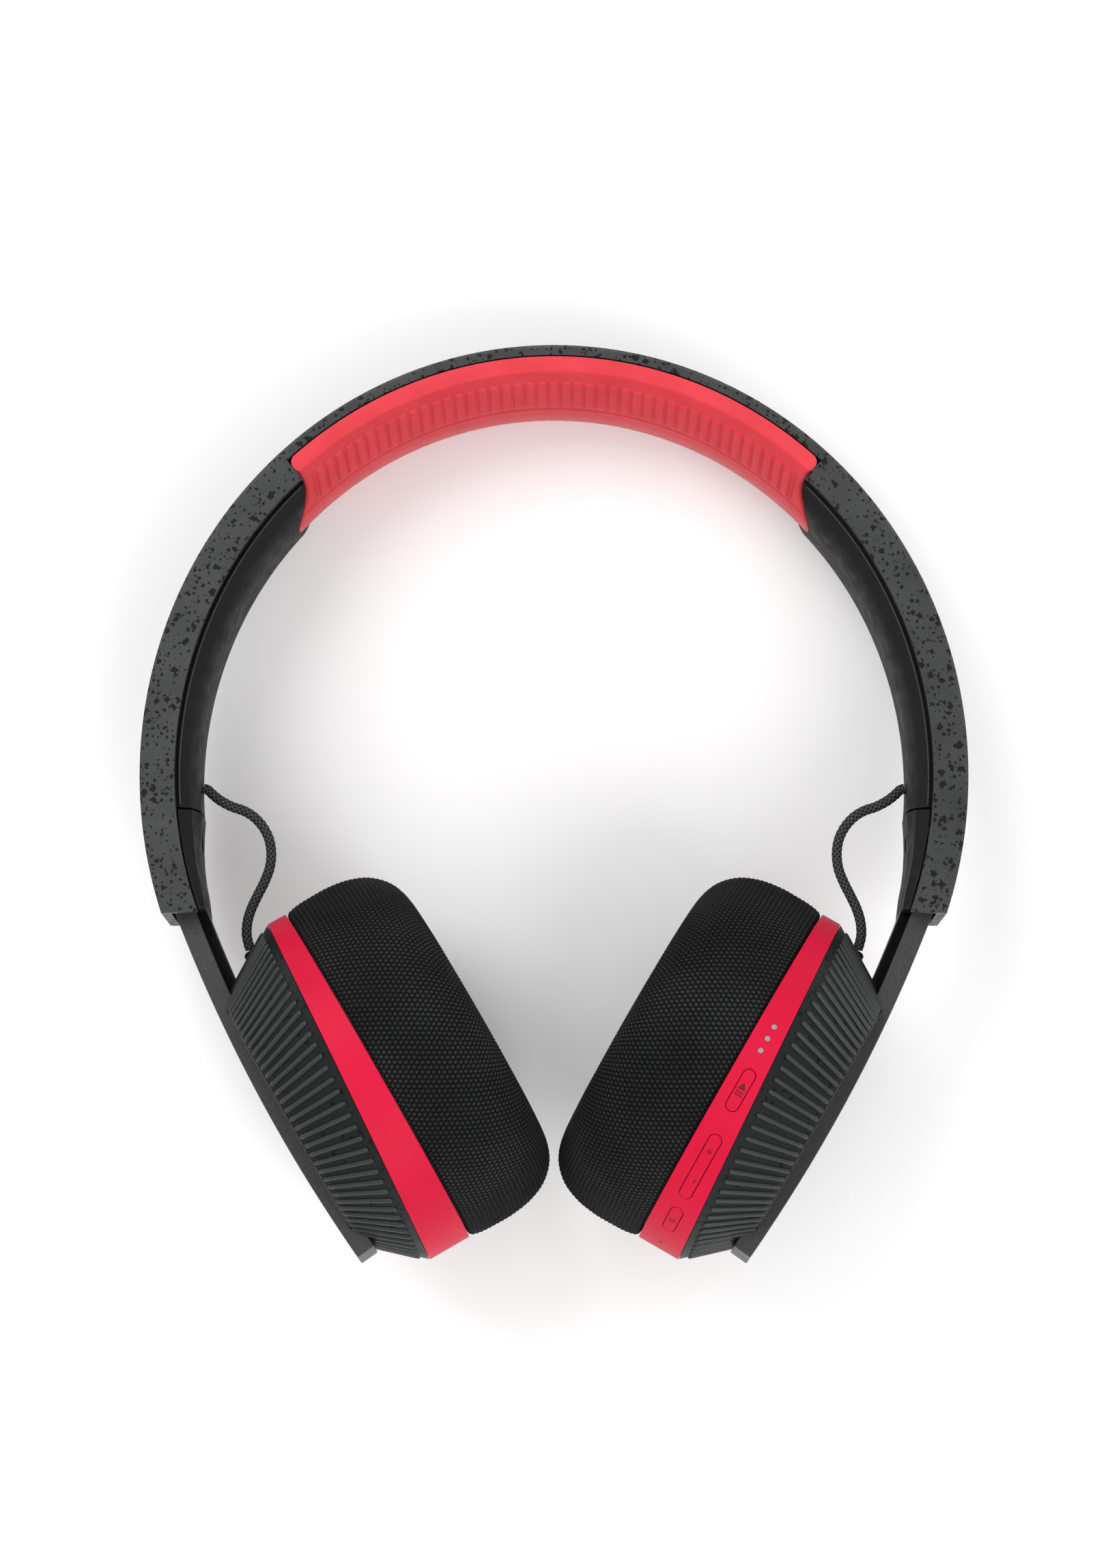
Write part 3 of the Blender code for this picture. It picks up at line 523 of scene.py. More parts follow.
def red_plastic(colour):
    graph = Graph("red_plastic", colour, 0.52, Specular_IOR_Level=0.12)
    tone = graph.steps(graph.noise(60, 2), 0.3, 0.7)
    graph.paint(graph.mix(tone, deepened(colour, (0.926, 0.778, 0.857)), colour))
    graph.rough(graph.steps(graph.noise(1500, 2), 0.3, 0.7, 0.45, 0.53))
    graph.bump(graph.noise(5200, 2), 0.00002, 0.25)
    return graph.material


def symbol_paint_and_hole_shade():
    # Dark red print for the symbols, also used for the flat disc that paints the shade in the microphone's
    # hole
    graph = Graph("symbol_paint_and_hole_shade", (0.11, 0.002, 0.007), 0.6, Specular_IOR_Level=0.2)
    graph.rough(graph.steps(graph.noise(2200, 2), 0.3, 0.7, 0.45, 0.6))
    return graph.material


def light_lens():
    graph = Graph("light_lens", (0.24, 0.24, 0.235), 0.4, Specular_IOR_Level=0.3)
    graph.rough(graph.steps(graph.noise(2600, 2), 0.3, 0.7, 0.3, 0.45))
    graph.bump(graph.noise(3200, 2), 0.00002, 0.3)
    return graph.material


def red_silicone(colour):
    graph = Graph("red_silicone", colour, 0.55, Specular_IOR_Level=0.25, Sheen_Weight=0.08)
    tone = graph.steps(graph.noise(120, 3), 0.3, 0.7)
    graph.paint(graph.mix(tone, deepened(colour, (0.917, 0.765, 0.792)), colour))
    graph.rough(graph.steps(graph.noise(800, 3), 0.3, 0.7, 0.44, 0.56))
    graph.bump(graph.noise(4200, 3), 0.00003, 0.35)
    return graph.material


def knit_fabric():
    """Staggered stitches, one to each unit of the UV map."""
    graph = Graph("knit_fabric", (0.012, 0.012, 0.012), 0.8, Specular_IOR_Level=0.08)
    place = graph.add("SeparateXYZ", {0: graph.coords("UV")})
    across = graph.maths("ADD", place.outputs[1], graph.steps(graph.noise(170, 2), 0, 1, -0.25, 0.25))
    odd = graph.maths("MULTIPLY", graph.maths("MODULO", graph.maths("FLOOR", across), 2.0), 0.5)
    round_it = graph.maths("ADD", place.outputs[0], odd)
    lobe = graph.maths("COSINE", graph.maths("MULTIPLY", round_it, 2 * math.pi))
    lobe = graph.steps(lobe, -1, 1)
    ridge = graph.maths("SINE", graph.maths("MULTIPLY", graph.maths("FRACT", across), math.pi))
    stitch = graph.maths("MULTIPLY", graph.maths("POWER", ridge, 0.6), graph.maths("POWER", lobe, 0.7))
    yarn = graph.noise(6500, 2)
    tone = graph.maths("MULTIPLY", stitch, graph.steps(yarn, 0.25, 0.75, 0.55, 1.1))
    patches = graph.steps(graph.noise(55, 3), 0.35, 0.7, 0.65, 1.25)
    tone = graph.maths("MULTIPLY", tone, patches, clamp=True)
    # The colour follows the stitch's height, darkest between the stitches: painted shade in the hollows of
    # the knit. The yarn noise and the patches are the yarn's own tone.
    graph.paint(graph.mix(tone, (0.0004, 0.0004, 0.0004), (0.036, 0.037, 0.037)))
    graph.bump(stitch, 0.0004, 1.0)
    graph.bump(yarn, 0.00006, 0.5)
    return graph.material


def braid():
    graph = Graph("braid", (0.015, 0.015, 0.015), 0.6, Specular_IOR_Level=0.2)
    place = graph.add("SeparateXYZ", {0: graph.coords("UV")})
    one = graph.maths("ADD", place.outputs[0], place.outputs[1])
    two = graph.maths("SUBTRACT", place.outputs[0], place.outputs[1])
    over = [graph.maths("COSINE", graph.maths("MULTIPLY", share, 2 * math.pi)) for share in (one, two)]
    height = graph.steps(graph.maths("MAXIMUM", *over), -0.1, 1)
    tone = graph.maths("MULTIPLY", height, graph.steps(graph.noise(5200, 2), 0.3, 0.7, 0.5, 1.1), clamp=True)
    # The colour follows the braid's height, dark where the strands dip: painted shade between the strands.
    # The noise is the yarn's own tone.
    graph.paint(graph.mix(tone, (0.001, 0.001, 0.001), (0.07, 0.072, 0.074)))
    graph.bump(height, 0.00012, 0.8)
    return graph.material


def inner_finish(name, colour, roughness, metallic=0.0):
    """A moulded or machined finish for the small and hidden pieces."""
    graph = Graph(name, colour, roughness, Metallic=metallic)
    low = tuple(0.85 * value for value in colour)
    graph.paint(graph.mix(graph.steps(graph.noise(420, 3), 0.3, 0.7), low, colour))
    graph.rough(graph.steps(graph.noise(900, 2), 0.3, 0.7, roughness - 0.05, roughness + 0.08))
    graph.bump(graph.noise(3000, 2), 0.00003, 0.3)
    return graph.material


# Pieces

def make_band_shell():
    """The band's outer wall, with a flange along both edges that is lower under the pad."""
    def section(angle):
        face = BAND_HALF_WIDTH
        under = face - 2.2 * MM
        depth = FLANGE_UNDER_PAD if abs(angle) < PAD_FLANK_END + 0.2 else FLANGE_DEPTH
        half = [(2.0 * MM, under), (depth, under), (depth, face), (0.7 * MM, face), (0, face - 0.7 * MM)]
        return both_ways(half)

    change = PAD_FLANK_END + 0.2
    middle = np.linspace(-change + 0.2, change - 0.2, 57)
    side = np.linspace(change, SHELL_END, 48)
    angles = np.concatenate([-side[::-1], middle, side])
    stations = np.array([section(angle) for angle in angles])
    depths, heights = stations[..., 0], stations[..., 1]
    # Both ends are cut on one flat plane
    slant = 0.2 * depths / MM - 0.03 * (17 - heights / MM)
    share = np.clip((np.abs(angles) - 100) / (SHELL_END - 100), 0, 1)
    turned = angles[:, None] + np.sign(angles)[:, None] * slant * share[:, None]
    mesh = surface("band_casing", band_points(turned, depths, heights), BAND)
    obj = finished("band_casing", mesh, [speckled_plastic()], "headband", ["band_shell"])
    bevelled(obj, 0.22 * MM)


def pad_end(depths):
    """The angle at which the pad ends: square to the band at its edges, then curving out into a tongue."""
    reach = np.clip((depths / MM - 7.0) / 5.2, 0, 1)
    corner = np.clip((4.4 - depths / MM) / 1.85, 0, 1)
    return PAD_FLANK_END + (PAD_END - PAD_FLANK_END) * reach ** 2.4 - 1.3 * (1 - np.sqrt(1 - corner ** 2))


def make_band_liner():
    """The liner runs under the pad and fills the band from the pad's curved end to the band's end."""
    under_pad = resampled([(5.7, 12.7), (6.4, 11.3), (7.9, 8.3), (8.9, 5.6), (9.4, 2.4)], 16)
    full = [(5.7, 14.4), (7.7, 14.4), (7.7, 15.2), (9.2, 13.9), (10.6, 12.2), (11.6, 9.6)]
    full = resampled(full + [(12.1, 6.5), (12.2, 3.0)], 16)
    under_pad, full = (np.array(both_ways(half.tolist())) * MM for half in (under_pad, full))
    start = pad_end(full[:, 0]) + 0.25
    shares = np.linspace(0, 1, 34)[:, None]
    side = start[None, :] * (1 - shares) + LINER_END * shares
    change = PAD_FLANK_END + 0.1
    middle = np.repeat(np.linspace(-change, change, 33)[:, None], len(full), axis=1)
    angles = np.concatenate([-side[::-1], middle, side])
    sections = np.stack([full] * len(side) + [under_pad] * len(middle) + [full] * len(side))
    mesh = surface("band_inner", band_points(angles, sections[..., 0], sections[..., 1]), BAND)
    obj = finished("band_inner", mesh, [liner_plastic()], "headband", ["band_liner"])
    # Beads along the liner's front and rear edges, in the arm's lighter plastic: a painted highlight along
    # these edges
    for side, name in SIDES:
        for end, z in (("front", 14.75), ("rear", -14.75)):
            turn = np.linspace(0, 2 * math.pi, 6, endpoint=False)
            painted_highlight_bead = [((8.3 + 0.17 * math.cos(t)) * MM, (z + 0.17 * math.sin(t)) * MM) for t in turn]
            mesh = band_sweep("painted_highlight_bead", np.linspace(PAD_FLANK_END + 1.0, LINER_END - 0.4, 60), painted_highlight_bead, side)
            seam = finished(f"{name}_{end}_seam", mesh, [LOOKS["arm_plastic"]], "headband")


def make_head_pad(settings):
    """The pad, with a row of rounded ribs along each half of its inner face."""
    top = [(5.8, 16.6), (6.6, 15.6), (7.2, 14.4), (8.6, 11.6), (10.4, 7.8), (11.6, 4.6), (12.2, 1.8)]
    top = smooth_line(both_ways(top), 121)
    back = [(2.6, -16.8), (2.6, -15.0), (4.9, -15.0), (7.0, -10.8), (9.3, -5.8), (9.8, -2.6)]
    back = both_ways(back)
    section = np.concatenate([top, smooth_line([(5.8, -16.6), (4.0, -16.8), (2.6, -16.8)], 9)[1:-1]])
    section = np.concatenate([section, resampled(back, 30)])
    section = np.concatenate([section, smooth_line([(2.6, 16.8), (4.0, 16.8), (5.8, 16.6)], 9)[1:-1]]) * MM
    edge = np.roll(section, -1, axis=0) - np.roll(section, 1, axis=0)
    out = np.stack([-edge[:, 1], edge[:, 0]], axis=1)
    out /= np.linalg.norm(out, axis=1, keepdims=True)
    across = np.abs(section[:, 1]) / MM
    on_top = np.arange(len(section)) < len(top)
    shares = np.linspace(-1, 1, 701)
    angles = shares[:, None] * pad_end(section[:, 0])[None, :]
    # The distance along the band in millimetres, along lines that lean towards the pad's middle
    turn = np.radians(angles)
    lean = np.tan(0.74 * np.abs(turn)) * (section[None, :, 0] / MM - 6.1)
    along = PAD_RADIUS * turn - np.sign(turn) * lean
    pitch = settings.pad_rib_pitch / MM
    wave = (along / pitch + 0.5) % 1.0 - 0.5
    flank = np.clip((0.4 - np.abs(wave)) / 0.09, 0, 1)
    usable = np.clip((56.0 - np.abs(along)) / 0.4, 0, 1)
    reach = np.clip((14.1 - across) / 0.7, 0, 1) * np.clip((across - 5.9) / 0.7, 0, 1)
    rib = flank * usable * reach[None, :]
    line = np.clip(0.45 - np.abs(across - 4.9), 0, 0.35) / 0.35
    line = line[None, :] * np.clip((60.0 - np.abs(along)) / 1.0, 0, 1)
    lift = (0.45 * rib + 0.2 * line) * on_top[None, :] * MM
    # The ends of the pad are rounded over
    tail = np.clip((np.abs(shares) - 0.985) / 0.015, 0, 1)[:, None]
    lift = lift - 0.55 * MM * (1 - np.sqrt(np.clip(1 - tail ** 2, 0, 1))) * on_top[None, :]
    depths = section[None, :, 0] + out[None, :, 0] * lift
    heights = section[None, :, 1] + out[None, :, 1] * lift
    mesh = surface("pad_cover", band_points(angles, depths, heights), BAND)
    silicone = red_silicone(tuple(settings.pad_colour))
    obj = finished("pad_cover", mesh, [silicone], "headband", ["head_pad"], angle=60)


def make_arms():
    """The two arms, each a curved plate with a dovetail rail on its inner face."""
    inner = ARM_RADIUS - ARM_THICKNESS
    plate = both_ways([(inner, ARM_HALF_WIDTH), (ARM_RADIUS, ARM_HALF_WIDTH)])
    rail = both_ways([(inner + 0.4 * MM, 5.0 * MM), (inner - RAIL_HEIGHT, 6.8 * MM)])
    # The rail's finish is darker than the plate's: painted shade on the rail
    materials = [LOOKS["arm_plastic"], LOOKS["rail_painted_shade"]]
    for side, body in SIDES:
        name = body + "_arm_strap"
        low = [arc_row(plate, angle, side) for angle in np.linspace(20.0, 35.3, 40)]
        high = [arc_row(rail, angle, side) for angle in np.linspace(21.3, 35.1, 40)]
        mesh = merged(name, [surface("plate", low, BAND), surface("rail", high, BAND)])
        obj = finished(name, mesh, materials, "headband", [body + "_arm"])
        bevelled(obj, 0.25 * MM)


def rib_mesh(half_width, height):
    """A rib of unit length along X with round ends, its underside sunk a little."""
    points = []
    faces = []
    stations = [(0.0, 0.35), (0.012, 0.75), (0.04, 1.0), (0.3, 1.0), (0.7, 1.0), (0.955, 1.0), (0.985, 0.8)]
    stations.append((1.0, 0.4))
    arc = np.linspace(0, math.pi, 9)
    for x, share in stations:
        for t in arc:
            points.append((x, half_width * share * math.cos(t), height * share ** 0.5 * math.sin(t)))
        points.append((x, -half_width * share, -0.25 * MM))
        points.append((x, half_width * share, -0.25 * MM))
    n = len(arc) + 2
    for i in range(len(stations) - 1):
        for k in range(n):
            j = (k + 1) % n
            faces.append([i * n + k, i * n + j, (i + 1) * n + j, (i + 1) * n + k])
    faces.append(list(range(n)))
    faces.append(list(range((len(stations) - 1) * n, len(stations) * n)))
    mesh = bpy.data.meshes.new("rib")
    mesh.from_pydata(points, [], faces)
    return mesh


def rib_tree():
    """Ribs up a cone whose foot follows the rim's slanted edge."""
    tree = bpy.data.node_groups.new("cone_ribs", "GeometryNodeTree")
    interface = tree.interface
    interface.new_socket("Geometry", in_out="OUTPUT", socket_type="NodeSocketGeometry")
    for name, kind, default in (
        ("Rib", "NodeSocketObject", None),
        ("Count", "NodeSocketInt", 88),
        ("Top Radius", "NodeSocketFloat", PLATE_RADIUS),
        ("Top Height", "NodeSocketFloat", PLATE_HEIGHT - 0.5 * MM),
        ("Foot Radius", "NodeSocketFloat", RING_RADIUS - 0.2 * MM),
        ("Foot Height", "NodeSocketFloat", RING_MIDDLE),
        ("Foot Taper", "NodeSocketFloat", RING_TAPER),
        ("Short Of Foot", "NodeSocketFloat", 2.0 * MM),
        ("Material", "NodeSocketMaterial", None),
    ):
        socket = interface.new_socket(name, in_out="INPUT", socket_type=kind)
        if default is not None:
            socket.default_value = default
    nodes = tree.nodes
    given = nodes.new("NodeGroupInput").outputs

    def add(kind, inputs=(), **settings):
        node = nodes.new(kind)
        for key, value in settings.items():
            setattr(node, key, value)
        for socket, value in dict(inputs).items():
            if isinstance(value, bpy.types.NodeSocket):
                tree.links.new(value, node.inputs[socket])
            else:
                node.inputs[socket].default_value = value
        return node

    def maths(operation, a, b=0.0):
        return add("ShaderNodeMath", {0: a, 1: b}, operation=operation).outputs[0]

    index = add("GeometryNodeInputIndex").outputs[0]
    angle = maths("MULTIPLY", index, maths("DIVIDE", 2 * math.pi, given["Count"]))
    taper = maths("MULTIPLY", given["Foot Taper"], maths("COSINE", angle))
    foot = maths("SUBTRACT", given["Foot Height"], taper)
    drop = maths("SUBTRACT", given["Top Height"], foot)
    spread = maths("SUBTRACT", given["Foot Radius"], given["Top Radius"])
    length = maths("SQRT", maths("ADD", maths("MULTIPLY", drop, drop), maths("MULTIPLY", spread, spread)))
    slope = maths("ARCTAN2", drop, spread)
    x = maths("MULTIPLY", given["Top Radius"], maths("COSINE", angle))
    y = maths("MULTIPLY", given["Top Radius"], maths("SINE", angle))
    place = add("ShaderNodeCombineXYZ", {0: x, 1: y, 2: given["Top Height"]}).outputs[0]
    turn = add("ShaderNodeCombineXYZ", {0: 0.0, 1: slope, 2: angle}).outputs[0]
    short = maths("SUBTRACT", length, given["Short Of Foot"])
    size = add("ShaderNodeCombineXYZ", {0: short, 1: 1.0, 2: 1.0}).outputs[0]
    points = add("GeometryNodePoints", {"Count": given["Count"], "Position": place}).outputs[0]
    rib = add("GeometryNodeObjectInfo", {"Object": given["Rib"], "As Instance": True}).outputs["Geometry"]
    inputs = {"Points": points, "Instance": rib, "Rotation": turn, "Scale": size}
    ribs = add("GeometryNodeInstanceOnPoints", inputs).outputs[0]
    real = add("GeometryNodeRealizeInstances", {0: ribs}).outputs[0]
    painted = add("GeometryNodeSetMaterial", {"Geometry": real, "Material": given["Material"]}).outputs[0]
    add("NodeGroupOutput", {0: painted})
    return tree


def grown_ribs(name, tree, rib, material, cup, count):
    """The tree's ribs as a plain mesh in place on a cup."""
    carrier = bpy.data.objects.new(name, bpy.data.meshes.new(name))
    bpy.context.collection.objects.link(carrier)
    modifier = carrier.modifiers.new("ribs", "NODES")
    modifier.node_group = tree
    sockets = {item.name: item.identifier for item in tree.interface.items_tree if item.in_out == "INPUT"}
    modifier[sockets["Rib"]] = rib
    modifier[sockets["Material"]] = material
    modifier[sockets["Count"]] = count
    bpy.context.view_layer.update()
    graph = bpy.context.evaluated_depsgraph_get()
    mesh = bpy.data.meshes.new_from_object(carrier.evaluated_get(graph))
    bpy.data.objects.remove(carrier)
    mesh.transform(cup)
    return mesh


def arm_slot(inner_radius, outer_radius, half_width, cup):
    """The room that an arm's plate or rail needs in a cup's back."""
    reach = 45 * MM / ARM_RADIUS
    rows = []
    for t in np.linspace(-reach, reach, 25):
        section = [(inner_radius, half_width), (outer_radius, half_width)]
        section += [(outer_radius, -half_width), (inner_radius, -half_width)]
        row = []
        for radius, y in section:
            row.append((ARC_CENTRE.x + radius * math.sin(t), y, ARC_CENTRE.z + radius * math.cos(t)))
        rows.append(row)
    return surface("slot", rows, cup)


def make_cup_shells(settings):
    """The cups' cone-shaped backs, with their ribs and the slot for the arm."""
    tree = rib_tree()
    rib = bpy.data.objects.new("rib", rib_mesh(0.6 * MM, 0.6 * MM))
    bpy.context.collection.objects.link(rib)
    cone = cone_plastic()
    # The ribs' finish is lighter than the cone's: a painted highlight on the ribs
    ribbed = rib_painted_highlight()

    def profile(angle):
        seam = ring_height(angle) + 0.12 * MM
        inner = RING_RADIUS - RING_WALL - 0.3 * MM
        points = [(20, 12.5), (20, 21.0), (28.4, 21.0), (28.8, 20.92), (29.1, 20.6)]
        points = [(r * MM, z * MM) for r, z in points]
        return points + [(RING_RADIUS - 0.15 * MM, seam), (inner, seam), (30.5 * MM, 12.5 * MM)]

    for side, name in SIDES:
        rows = np.array(turned_rows(profile, 144)).transpose(1, 0, 2)[1:]
        mesh = surface(f"{name}_cone", rows, CUPS[side])
        obj = finished(f"{name}_cone", mesh, [cone], name + "_cup", [name + "_outer_shell"])
        inner = ARM_RADIUS - ARM_THICKNESS - 0.3 * MM
        cut(obj, arm_slot(inner, ARM_RADIUS + 9 * MM, ARM_HALF_WIDTH + 0.35 * MM, CUPS[side]))
        cut(obj, arm_slot(inner - RAIL_SLOT_DEPTH, inner + MM, 7.3 * MM, CUPS[side]))
        mesh = grown_ribs(f"{name}_ribs", tree, rib, ribbed, CUPS[side], settings.cone_ribs)
        ribs = finished(f"{name}_cone_ribs", mesh, [], name + "_cup", angle=50)
    bpy.data.objects.remove(rib)


def make_rims():
    """The two rims, with the windows for the controls, the status lights and the microphone's hole."""

    def profile(angle):
        outer = float(ring_height(angle))
        inner = RING_RADIUS - RING_WALL
        edge = 0.12 * MM
        points = [(inner, 0), (RING_RADIUS - edge, 0), (RING_RADIUS, edge), (RING_RADIUS, outer - edge)]
        return points + [(RING_RADIUS - edge, outer), (inner, outer)]

    for side, name in SIDES:
        mesh = surface(f"{name}_rim", turned_rows(profile, 288), CUPS[side], wrap_rows=True)
        obj = finished(f"{name}_rim", mesh, [LOOKS["red_plastic"]], name + "_cup", [name + "_trim_ring"])
        if side == 1:
            for control in (PLAY, VOLUME, POWER):
                cut(obj, ring_patch("window", control, OUTLINE, 33 * MM, 44 * MM, CUPS[1]))
    for angle in STATUS_LIGHTS:
        mesh = ring_mark([disc(STATUS_RADIUS, 24)], angle, STATUS_HEIGHT, CUPS[1])
        lens = finished(f"status_light_{angle:.0f}", mesh, [LOOKS["light_lens"]], "right_cup")
    # The microphone's hole is a flat dark disc on the rim: painted shade where the hole is
    mesh = ring_mark([disc(MICROPHONE_RADIUS, 16)], *MICROPHONE, CUPS[1])
    hole = finished("microphone_mark", mesh, [LOOKS["symbol_paint_and_hole_shade"]], "right_cup")


def disc(radius, sides):
    turns = np.linspace(0, 2 * math.pi, sides, endpoint=False)
    return [(radius * math.cos(t), radius * math.sin(t)) for t in turns]


def box(x, z, half_x, half_z):
    corners = ((-1, -1), (1, -1), (1, 1), (-1, 1))
    return [((x + i * half_x) * MM, (z + k * half_z) * MM) for i, k in corners]


def make_controls():
    """The three controls with their generic symbols."""
    finishes = [LOOKS["red_plastic"], LOOKS["symbol_paint_and_hole_shade"]]
    play = [[(-0.2 * MM, -0.9 * MM), (-0.2 * MM, 0.9 * MM), (-1.7 * MM, 0.0)]]
    play += [box(0.45, 0.0, 0.14, 0.85), box(1.1, 0.0, 0.14, 0.85)]
    volume = [box(-4.55, 0.1, 0.62, 0.085), box(-4.55, 0.1, 0.085, 0.62), box(3.4, 0.4, 0.5, 0.1)]
    turns = np.linspace(0.6, 2 * math.pi - 0.6, 13)
    power = [box(-0.45, 0.0, 0.35, 0.075)]
    for a, b in zip(turns, turns[1:]):
        corners = [(0.52, a), (0.66, a), (0.66, b), (0.52, b)]
        power.append([(-r * math.cos(t) * MM, r * math.sin(t) * MM) for r, t in corners])
    for name, control, symbol in (
        ("play_button", PLAY, play),
        ("volume_rocker", VOLUME, volume),
        ("power_button", POWER, power),
    ):
        patch = ring_patch(name, control, 0.0, RING_RADIUS - 2.2 * MM, RING_RADIUS + 0.02 * MM, CUPS[1])
        mark = ring_mark(symbol, control[0], control[1], CUPS[1])
        obj = finished(name + "_cap", merged(name + "_cap", [patch, mark]), finishes, name, [name])


# A cushion's cover from its outer seam to its inner one: radius and height in its cup's frame, in millimetres
CUSHION = (
    (37.2, -0.4),
    (38.6, -0.35),
    (39.3, -0.9),
    (39.8, -3.2),
    (39.95, -7.0),
    (39.9, -10.5),
    (39.2, -15.0),
    (37.4, -19.3),
    (34.2, -22.6),
    (30.2, -24.2),
    (26.5, -24.2),
    (23.2, -22.6),
    (21.0, -19.4),
    (20.2, -15.0),
    (20.0, -10.0),
    (20.0, -4.8),
)


def puffed(rows, columns):
    """How far a cushion's cover moves along its own normal when its foam fills it, on a coarse grid.

    The cover is a cloth held at both seams.
    """
    profile = smooth_line(CUSHION, columns) * MM
    angles = np.linspace(0, 2 * math.pi, rows, endpoint=False)
    grid = np.zeros((rows, columns, 3))
    grid[..., 0] = np.cos(angles)[:, None] * profile[None, :, 0]
    grid[..., 1] = np.sin(angles)[:, None] * profile[None, :, 0]
    grid[..., 2] = profile[None, :, 1]
    slope = np.gradient(profile, axis=0)
    normal = np.stack([-slope[:, 1], slope[:, 0]], axis=1)
    normal /= np.linalg.norm(normal, axis=1, keepdims=True)
    out = np.zeros_like(grid)
    out[..., 0] = np.cos(angles)[:, None] * normal[None, :, 0]
    out[..., 1] = np.sin(angles)[:, None] * normal[None, :, 0]
    out[..., 2] = normal[None, :, 1]
    mesh = surface("cover", grid, Matrix.Identity(4), wrap_rows=True, wrap_columns=False)
    obj = bpy.data.objects.new("cover", mesh)
    bpy.context.collection.objects.link(obj)
    held = obj.vertex_groups.new(name="seams")
    seams = [r * columns + c for r in range(rows) for c in (0, 1, columns - 2, columns - 1)]
    held.add(seams, 1.0, "REPLACE")
    cloth = obj.modifiers.new("cloth", "CLOTH")
    cloth.settings.vertex_group_mass = "seams"
    cloth.settings.use_pressure = True
    cloth.settings.uniform_pressure_force = 4.0
    cloth.settings.tension_stiffness = 60
    cloth.settings.compression_stiffness = 60
    cloth.settings.shear_stiffness = 40
    cloth.settings.bending_stiffness = 8
    cloth.settings.effector_weights.gravity = 0.0
    cloth.point_cache.frame_end = FILL_FRAMES
    scene = bpy.context.scene
    for number in range(1, FILL_FRAMES + 1):
        scene.frame_set(number)
    graph = bpy.context.evaluated_depsgraph_get()
    filled = np.zeros(rows * columns * 3)
    obj.evaluated_get(graph).data.vertices.foreach_get("co", filled)
    scene.frame_set(1)
    bpy.data.objects.remove(obj)
    moved = ((filled.reshape(rows, columns, 3) - grid) * out).sum(axis=2)
    return np.clip(moved, -MOST_SUNK, MOST_SWOLLEN)


def make_cushions(settings):
    """Knitted ear cushions: a filled cover with a stitch to each cell of its grid."""
    coarse_rows, coarse_columns = 72, 33
    moved = puffed(coarse_rows, coarse_columns)
    stitches = 2 * round(math.pi * 39.9 * MM / settings.stitch_pitch)
    reach = np.linalg.norm(np.diff(smooth_line(CUSHION, 200), axis=0), axis=1).sum() * MM
    courses = round(reach / (settings.stitch_pitch * 0.86))
    rows, columns = stitches * 4, courses * 3 + 1
    profile = smooth_line(CUSHION, columns) * MM
    slope = np.gradient(profile, axis=0)
    normal = np.stack([-slope[:, 1], slope[:, 0]], axis=1)
    normal /= np.linalg.norm(normal, axis=1, keepdims=True)
    angles = np.linspace(0, 2 * math.pi, rows, endpoint=False)
    # The cover's own shape, spread from the coarse grid
    at = np.linspace(0, coarse_columns - 1, columns)
    fine = np.stack([np.interp(at, np.arange(coarse_columns), row) for row in moved])
    fine = np.concatenate([fine, fine[:1]])
    places = np.linspace(0, coarse_rows, rows, endpoint=False)
    fine = np.stack([np.interp(places, np.arange(coarse_rows + 1), column) for column in fine.T], axis=1)
    for _ in range(12):
        fine = (np.roll(fine, 8, axis=0) + 2 * fine + np.roll(fine, -8, axis=0)) / 4
    u = np.arange(rows) / 4
    v = np.arange(columns) / 3
    odd = (np.floor(v + 1e-6) % 2) * 0.5
    lobe = 0.5 + 0.5 * np.cos(2 * math.pi * (u[:, None] + odd[None, :]))
    stitch = lobe * np.sin(math.pi * (v % 1.0))[None, :]
    ends = np.clip(np.minimum(np.arange(columns), columns - 1 - np.arange(columns)) / 3, 0, 1)[None, :]
    lift = fine + (stitch - 0.5) * 0.16 * MM * ends
    r = profile[None, :, 0] + normal[None, :, 0] * lift
    z = profile[None, :, 1] + normal[None, :, 1] * lift
    grid = np.stack([np.cos(angles)[:, None] * r, np.sin(angles)[:, None] * r, z], axis=2)
    back = [(24.0, -4.8), (37.2, -4.8)]
    closing = []
    for b, h in back:
        x, y = np.cos(angles) * b * MM, np.sin(angles) * b * MM
        closing.append(np.stack([x, y, np.full(rows, h * MM)], axis=1))
    closing = np.stack(closing, axis=1)
    grid = np.concatenate([grid, closing], axis=1)
    corner_u = np.arange(rows + 1) / 4
    corner_v = np.concatenate([v, [v[-1] + 0.3, v[-1] + 0.6, v[-1] + 0.9]])
    uv = np.stack(np.meshgrid(corner_u, corner_v, indexing="ij"), axis=2)
    fabric = LOOKS["knit_fabric"]
    for side, name in SIDES:
        mesh = surface(f"{name}_cushion", grid, CUPS[side], wrap_rows=True, uv=uv)
        cushion = name + "_ear_cushion"
        obj = finished(f"{name}_knit_cushion", mesh, [fabric], name + "_cup", [cushion], angle=80)


